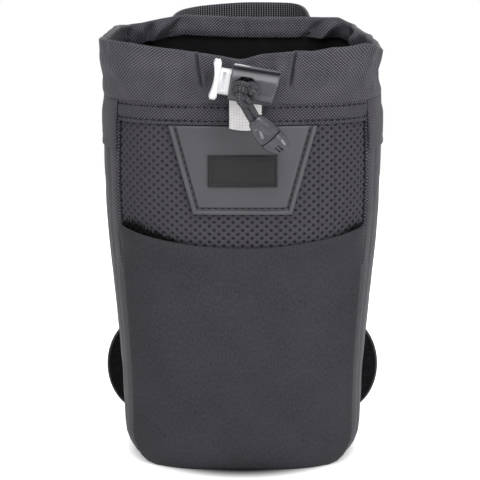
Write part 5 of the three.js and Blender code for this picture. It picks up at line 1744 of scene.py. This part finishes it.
def flap_edge_tape():
    """The binding: a folded tape whose section is a U closed over the flap's edge."""
    right = flap_outline(binding_width / 2)
    outline = np.concatenate([right, right[::-1] * np.array([-1.0, 1.0])])
    closed = []
    for a, b in zip(outline, np.roll(outline, -1, axis=0)):
        pieces = max(1, int(np.linalg.norm(b - a) / 1.2))
        closed.extend(a + (b - a) * t for t in np.arange(pieces) / pieces)
    closed = eased(np.array(closed), 3)
    tangent = loop_tangents(closed)
    outward = np.stack([tangent[:, 1], -tangent[:, 0]], axis=1)
    outward = outward * np.sign((outward * (closed - np.array([0, 60]))).sum())
    rows = []
    for turn in np.linspace(0, 2 * math.pi, 14, endpoint=False):
        side = math.copysign(abs(math.cos(turn)) ** 0.7, math.cos(turn))
        depth = math.copysign(abs(math.sin(turn)) ** 0.6, math.sin(turn))
        flat = closed + outward * side * binding_width / 2
        y = flap_depth(closed[:, 1]) + 1.9 + 2.05 * depth
        rows.append(np.stack([flat[:, 0], y, flat[:, 1]], axis=1))
    return face_outwards(grid_piece("flap_edge_tape", rows, wrap_rows=True, wrap_columns=True))


fit(flap_edge_tape(), nylon_webbing("binding_tape", "#2a292d", "#626168"), "flap_binding",
    "belt_flap")

# Fixings of the flap: hook tape on the flap, loop tape on the back, and a strip along its hinge.
# Each is sewn on all round.
hook_box = ((-36.0, 57.8, 12.0), (36.0, 59.0, 42.0))
loop_box = ((-38.0, 56.3, 10.0), (38.0, 57.5, 44.0))
strip_box = ((-42.0, 57.2, 166.8), (42.0, 58.8, 176.8))


def hook_tape_nylon():
    """Hook tape: rows of tiny stiff nylon hooks, their turned-over tips painted lighter as a glint
    and the spaces between them darker as shade.
    """
    material, tree, shader = new_material("nylon_hook_tape", roughness=0.5, ior=1.53)
    place = add_node(tree, "TexCoord").outputs["Object"]
    hooks = add_node(tree, "TexVoronoi", {"Scale": 1 / (1.3 * mm), "Randomness": 0.35},
                     {"Vector": place})
    # Painted glint on the hook tips, painted shade between them.
    two_tone(tree, hooks, "#3a3a3e", "#0e0e10", shader)
    raise_surface(tree, shader, hooks, -0.5, 0.9)
    return material


def sewn_tape(node, corners, material, body, out_y):
    low, high = corners
    tape = soften_edges(round_box(node + "_tape", low, high, 0.4), 0.1)
    cloth = tape.data.uv_layers.new(name="cloth")
    for corner, place in zip(tape.data.loops, cloth.data):
        place.uv = tape.data.vertices[corner.vertex_index].co.xz
    fit(tape, material, node, body)
    y = (high[1] if out_y > 0 else low[1]) - 0.05 * out_y
    x0, x1, z0, z1 = low[0] + 2, high[0] - 2, low[2] + 2, high[2] - 2
    line = straight_runs([(x0, z0), (x1, z0), (x1, z1), (x0, z1), (x0, z0)], [30] * 4)
    line = np.stack([line[:, 0], np.full(len(line), y), line[:, 1]], axis=1)
    stitch_row(node + "_stitches", line, np.tile([0.0, out_y, 0.0], (len(line), 1)), body)


sewn_tape("hook_patch", hook_box, hook_tape_nylon(), "belt_flap", -1.0)
sewn_tape("loop_patch", loop_box, loop_cloth, "pouch", 1.0)
sewn_tape("flap_mount_strip", strip_box, body_nylon, "pouch", 1.0)

# Table and light: a seamless white sweep, lit by soft boxes: one at each side, two over the front
# and a weak one behind. The camera sees plain white behind the pouch, and the sweep keeps only
# the shadow at the pouch's foot, darkened by a painted contact shadow.
sweep_radius = 900.0
foot_half = (36.0, 42.0)
shadow_reach = 40.0
lamp_places = ((1.15, -1.3, 0.36, 0.7, 10.0), (-1.25, -1.2, 0.35, 0.7, 4.2),
               (0.0, -0.75, 1.45, 0.5, 5.0), (0.1, -1.3, 1.1, 0.9, 11.0),
               (0.3, 1.4, 0.75, 0.8, 3.5))


def seen_rays(tree):
    """One for rays that show the white itself: straight, mirrored, or through something clear."""
    rays = add_node(tree, "LightPath")
    total = rays.outputs["Is Camera Ray"]
    for kind in ("Is Glossy Ray", "Is Transmission Ray"):
        total = add_node(tree, "Math", {"operation": "MAXIMUM"}, {0: total, 1: rays.outputs[kind]})
    return total


def white_sweep():
    """Seamless white paper: matt, and overexposed to plain white away from the shadow.

    Near the foot of the pouch its colour and its own glow are painted dark, a painted contact
    shadow that follows the pouch's ambient occlusion inside an ellipse round the foot; outside the
    ellipse, at the sides, it stays light.
    """
    material, tree, shader = new_material("white_paper_sweep", roughness=1.0, specular=0.0)
    place = add_node(tree, "TexCoord").outputs["Object"]
    scaled = add_node(tree, "Mapping", {
        "Scale": (1 / (foot_half[0] * mm), 1 / (foot_half[1] * mm), 0)},
        {"Vector": place})
    away = add_node(tree, "VectorMath", {"operation": "LENGTH"}, {0: scaled})
    fade = add_node(tree, "MapRange", {
        "interpolation_type": "SMOOTHSTEP", "From Min": 1.05, "From Max": 1.9,
        "To Min": 0.25, "To Max": 0.95}, {"Value": away.outputs["Value"]})
    # Painted contact shadow: ambient occlusion and an ellipse round the foot darken the sweep's
    # colour and glow.
    overhung = add_node(tree, "AmbientOcclusion", {"Distance": shadow_reach * mm})
    screened = add_node(tree, "MapRange", {
        "interpolation_type": "SMOOTHSTEP", "From Min": 0.5, "From Max": 0.97},
        {"Value": overhung.outputs["AO"]})
    beside = add_node(tree, "MapRange", {
        "interpolation_type": "SMOOTHSTEP", "From Min": 1.05, "From Max": 1.6},
        {"Value": away.outputs["Value"]})
    open_share = add_node(tree, "Math", {"operation": "MAXIMUM"}, {0: screened, 1: beside})
    two_tone(tree, open_share, "#1c1c22", "#fafafa", shader)
    lit = add_node(tree, "Math", {"operation": "MULTIPLY"}, {0: fade, 1: open_share})
    seen = add_node(tree, "Math", {"operation": "MULTIPLY"}, {0: lit, 1: seen_rays(tree)})
    tree.links.new(seen.outputs["Value"], shader.inputs["Emission Strength"])
    return material


ring = np.linspace(0, 2 * math.pi, 64, endpoint=False)
edge = sweep_radius * np.stack([np.cos(ring), np.sin(ring), 0 * ring], axis=1)
sweep = mesh_piece("sweep", edge, [tuple(range(64))], smooth=False)
sweep.data.materials.append(white_sweep())
world = bpy.data.worlds.new("room")
bpy.context.scene.world = world
world.use_nodes = True
sky = world.node_tree.nodes["Background"]
seen = add_node(world.node_tree, "Math", {"operation": "MULTIPLY_ADD", 1: 0.75, 2: 0.25},
                {0: seen_rays(world.node_tree)})
world.node_tree.links.new(seen.outputs["Value"], sky.inputs["Strength"])
sky.inputs["Color"].default_value = (1, 1, 1, 1)
for x, y, z, size, power in lamp_places:
    light_data = bpy.data.lights.new("softbox", "AREA")
    light_data.shape, light_data.size, light_data.energy = "DISK", size, power
    lamp = into_scene(bpy.data.objects.new("softbox", light_data))
    lamp.location = (x, y, z)
    lamp.rotation_euler = (Vector((0, 0, 0.1)) - lamp.location).to_track_quat("-Z", "Y").to_euler()
bpy.context.scene.view_settings.view_transform = "Standard"
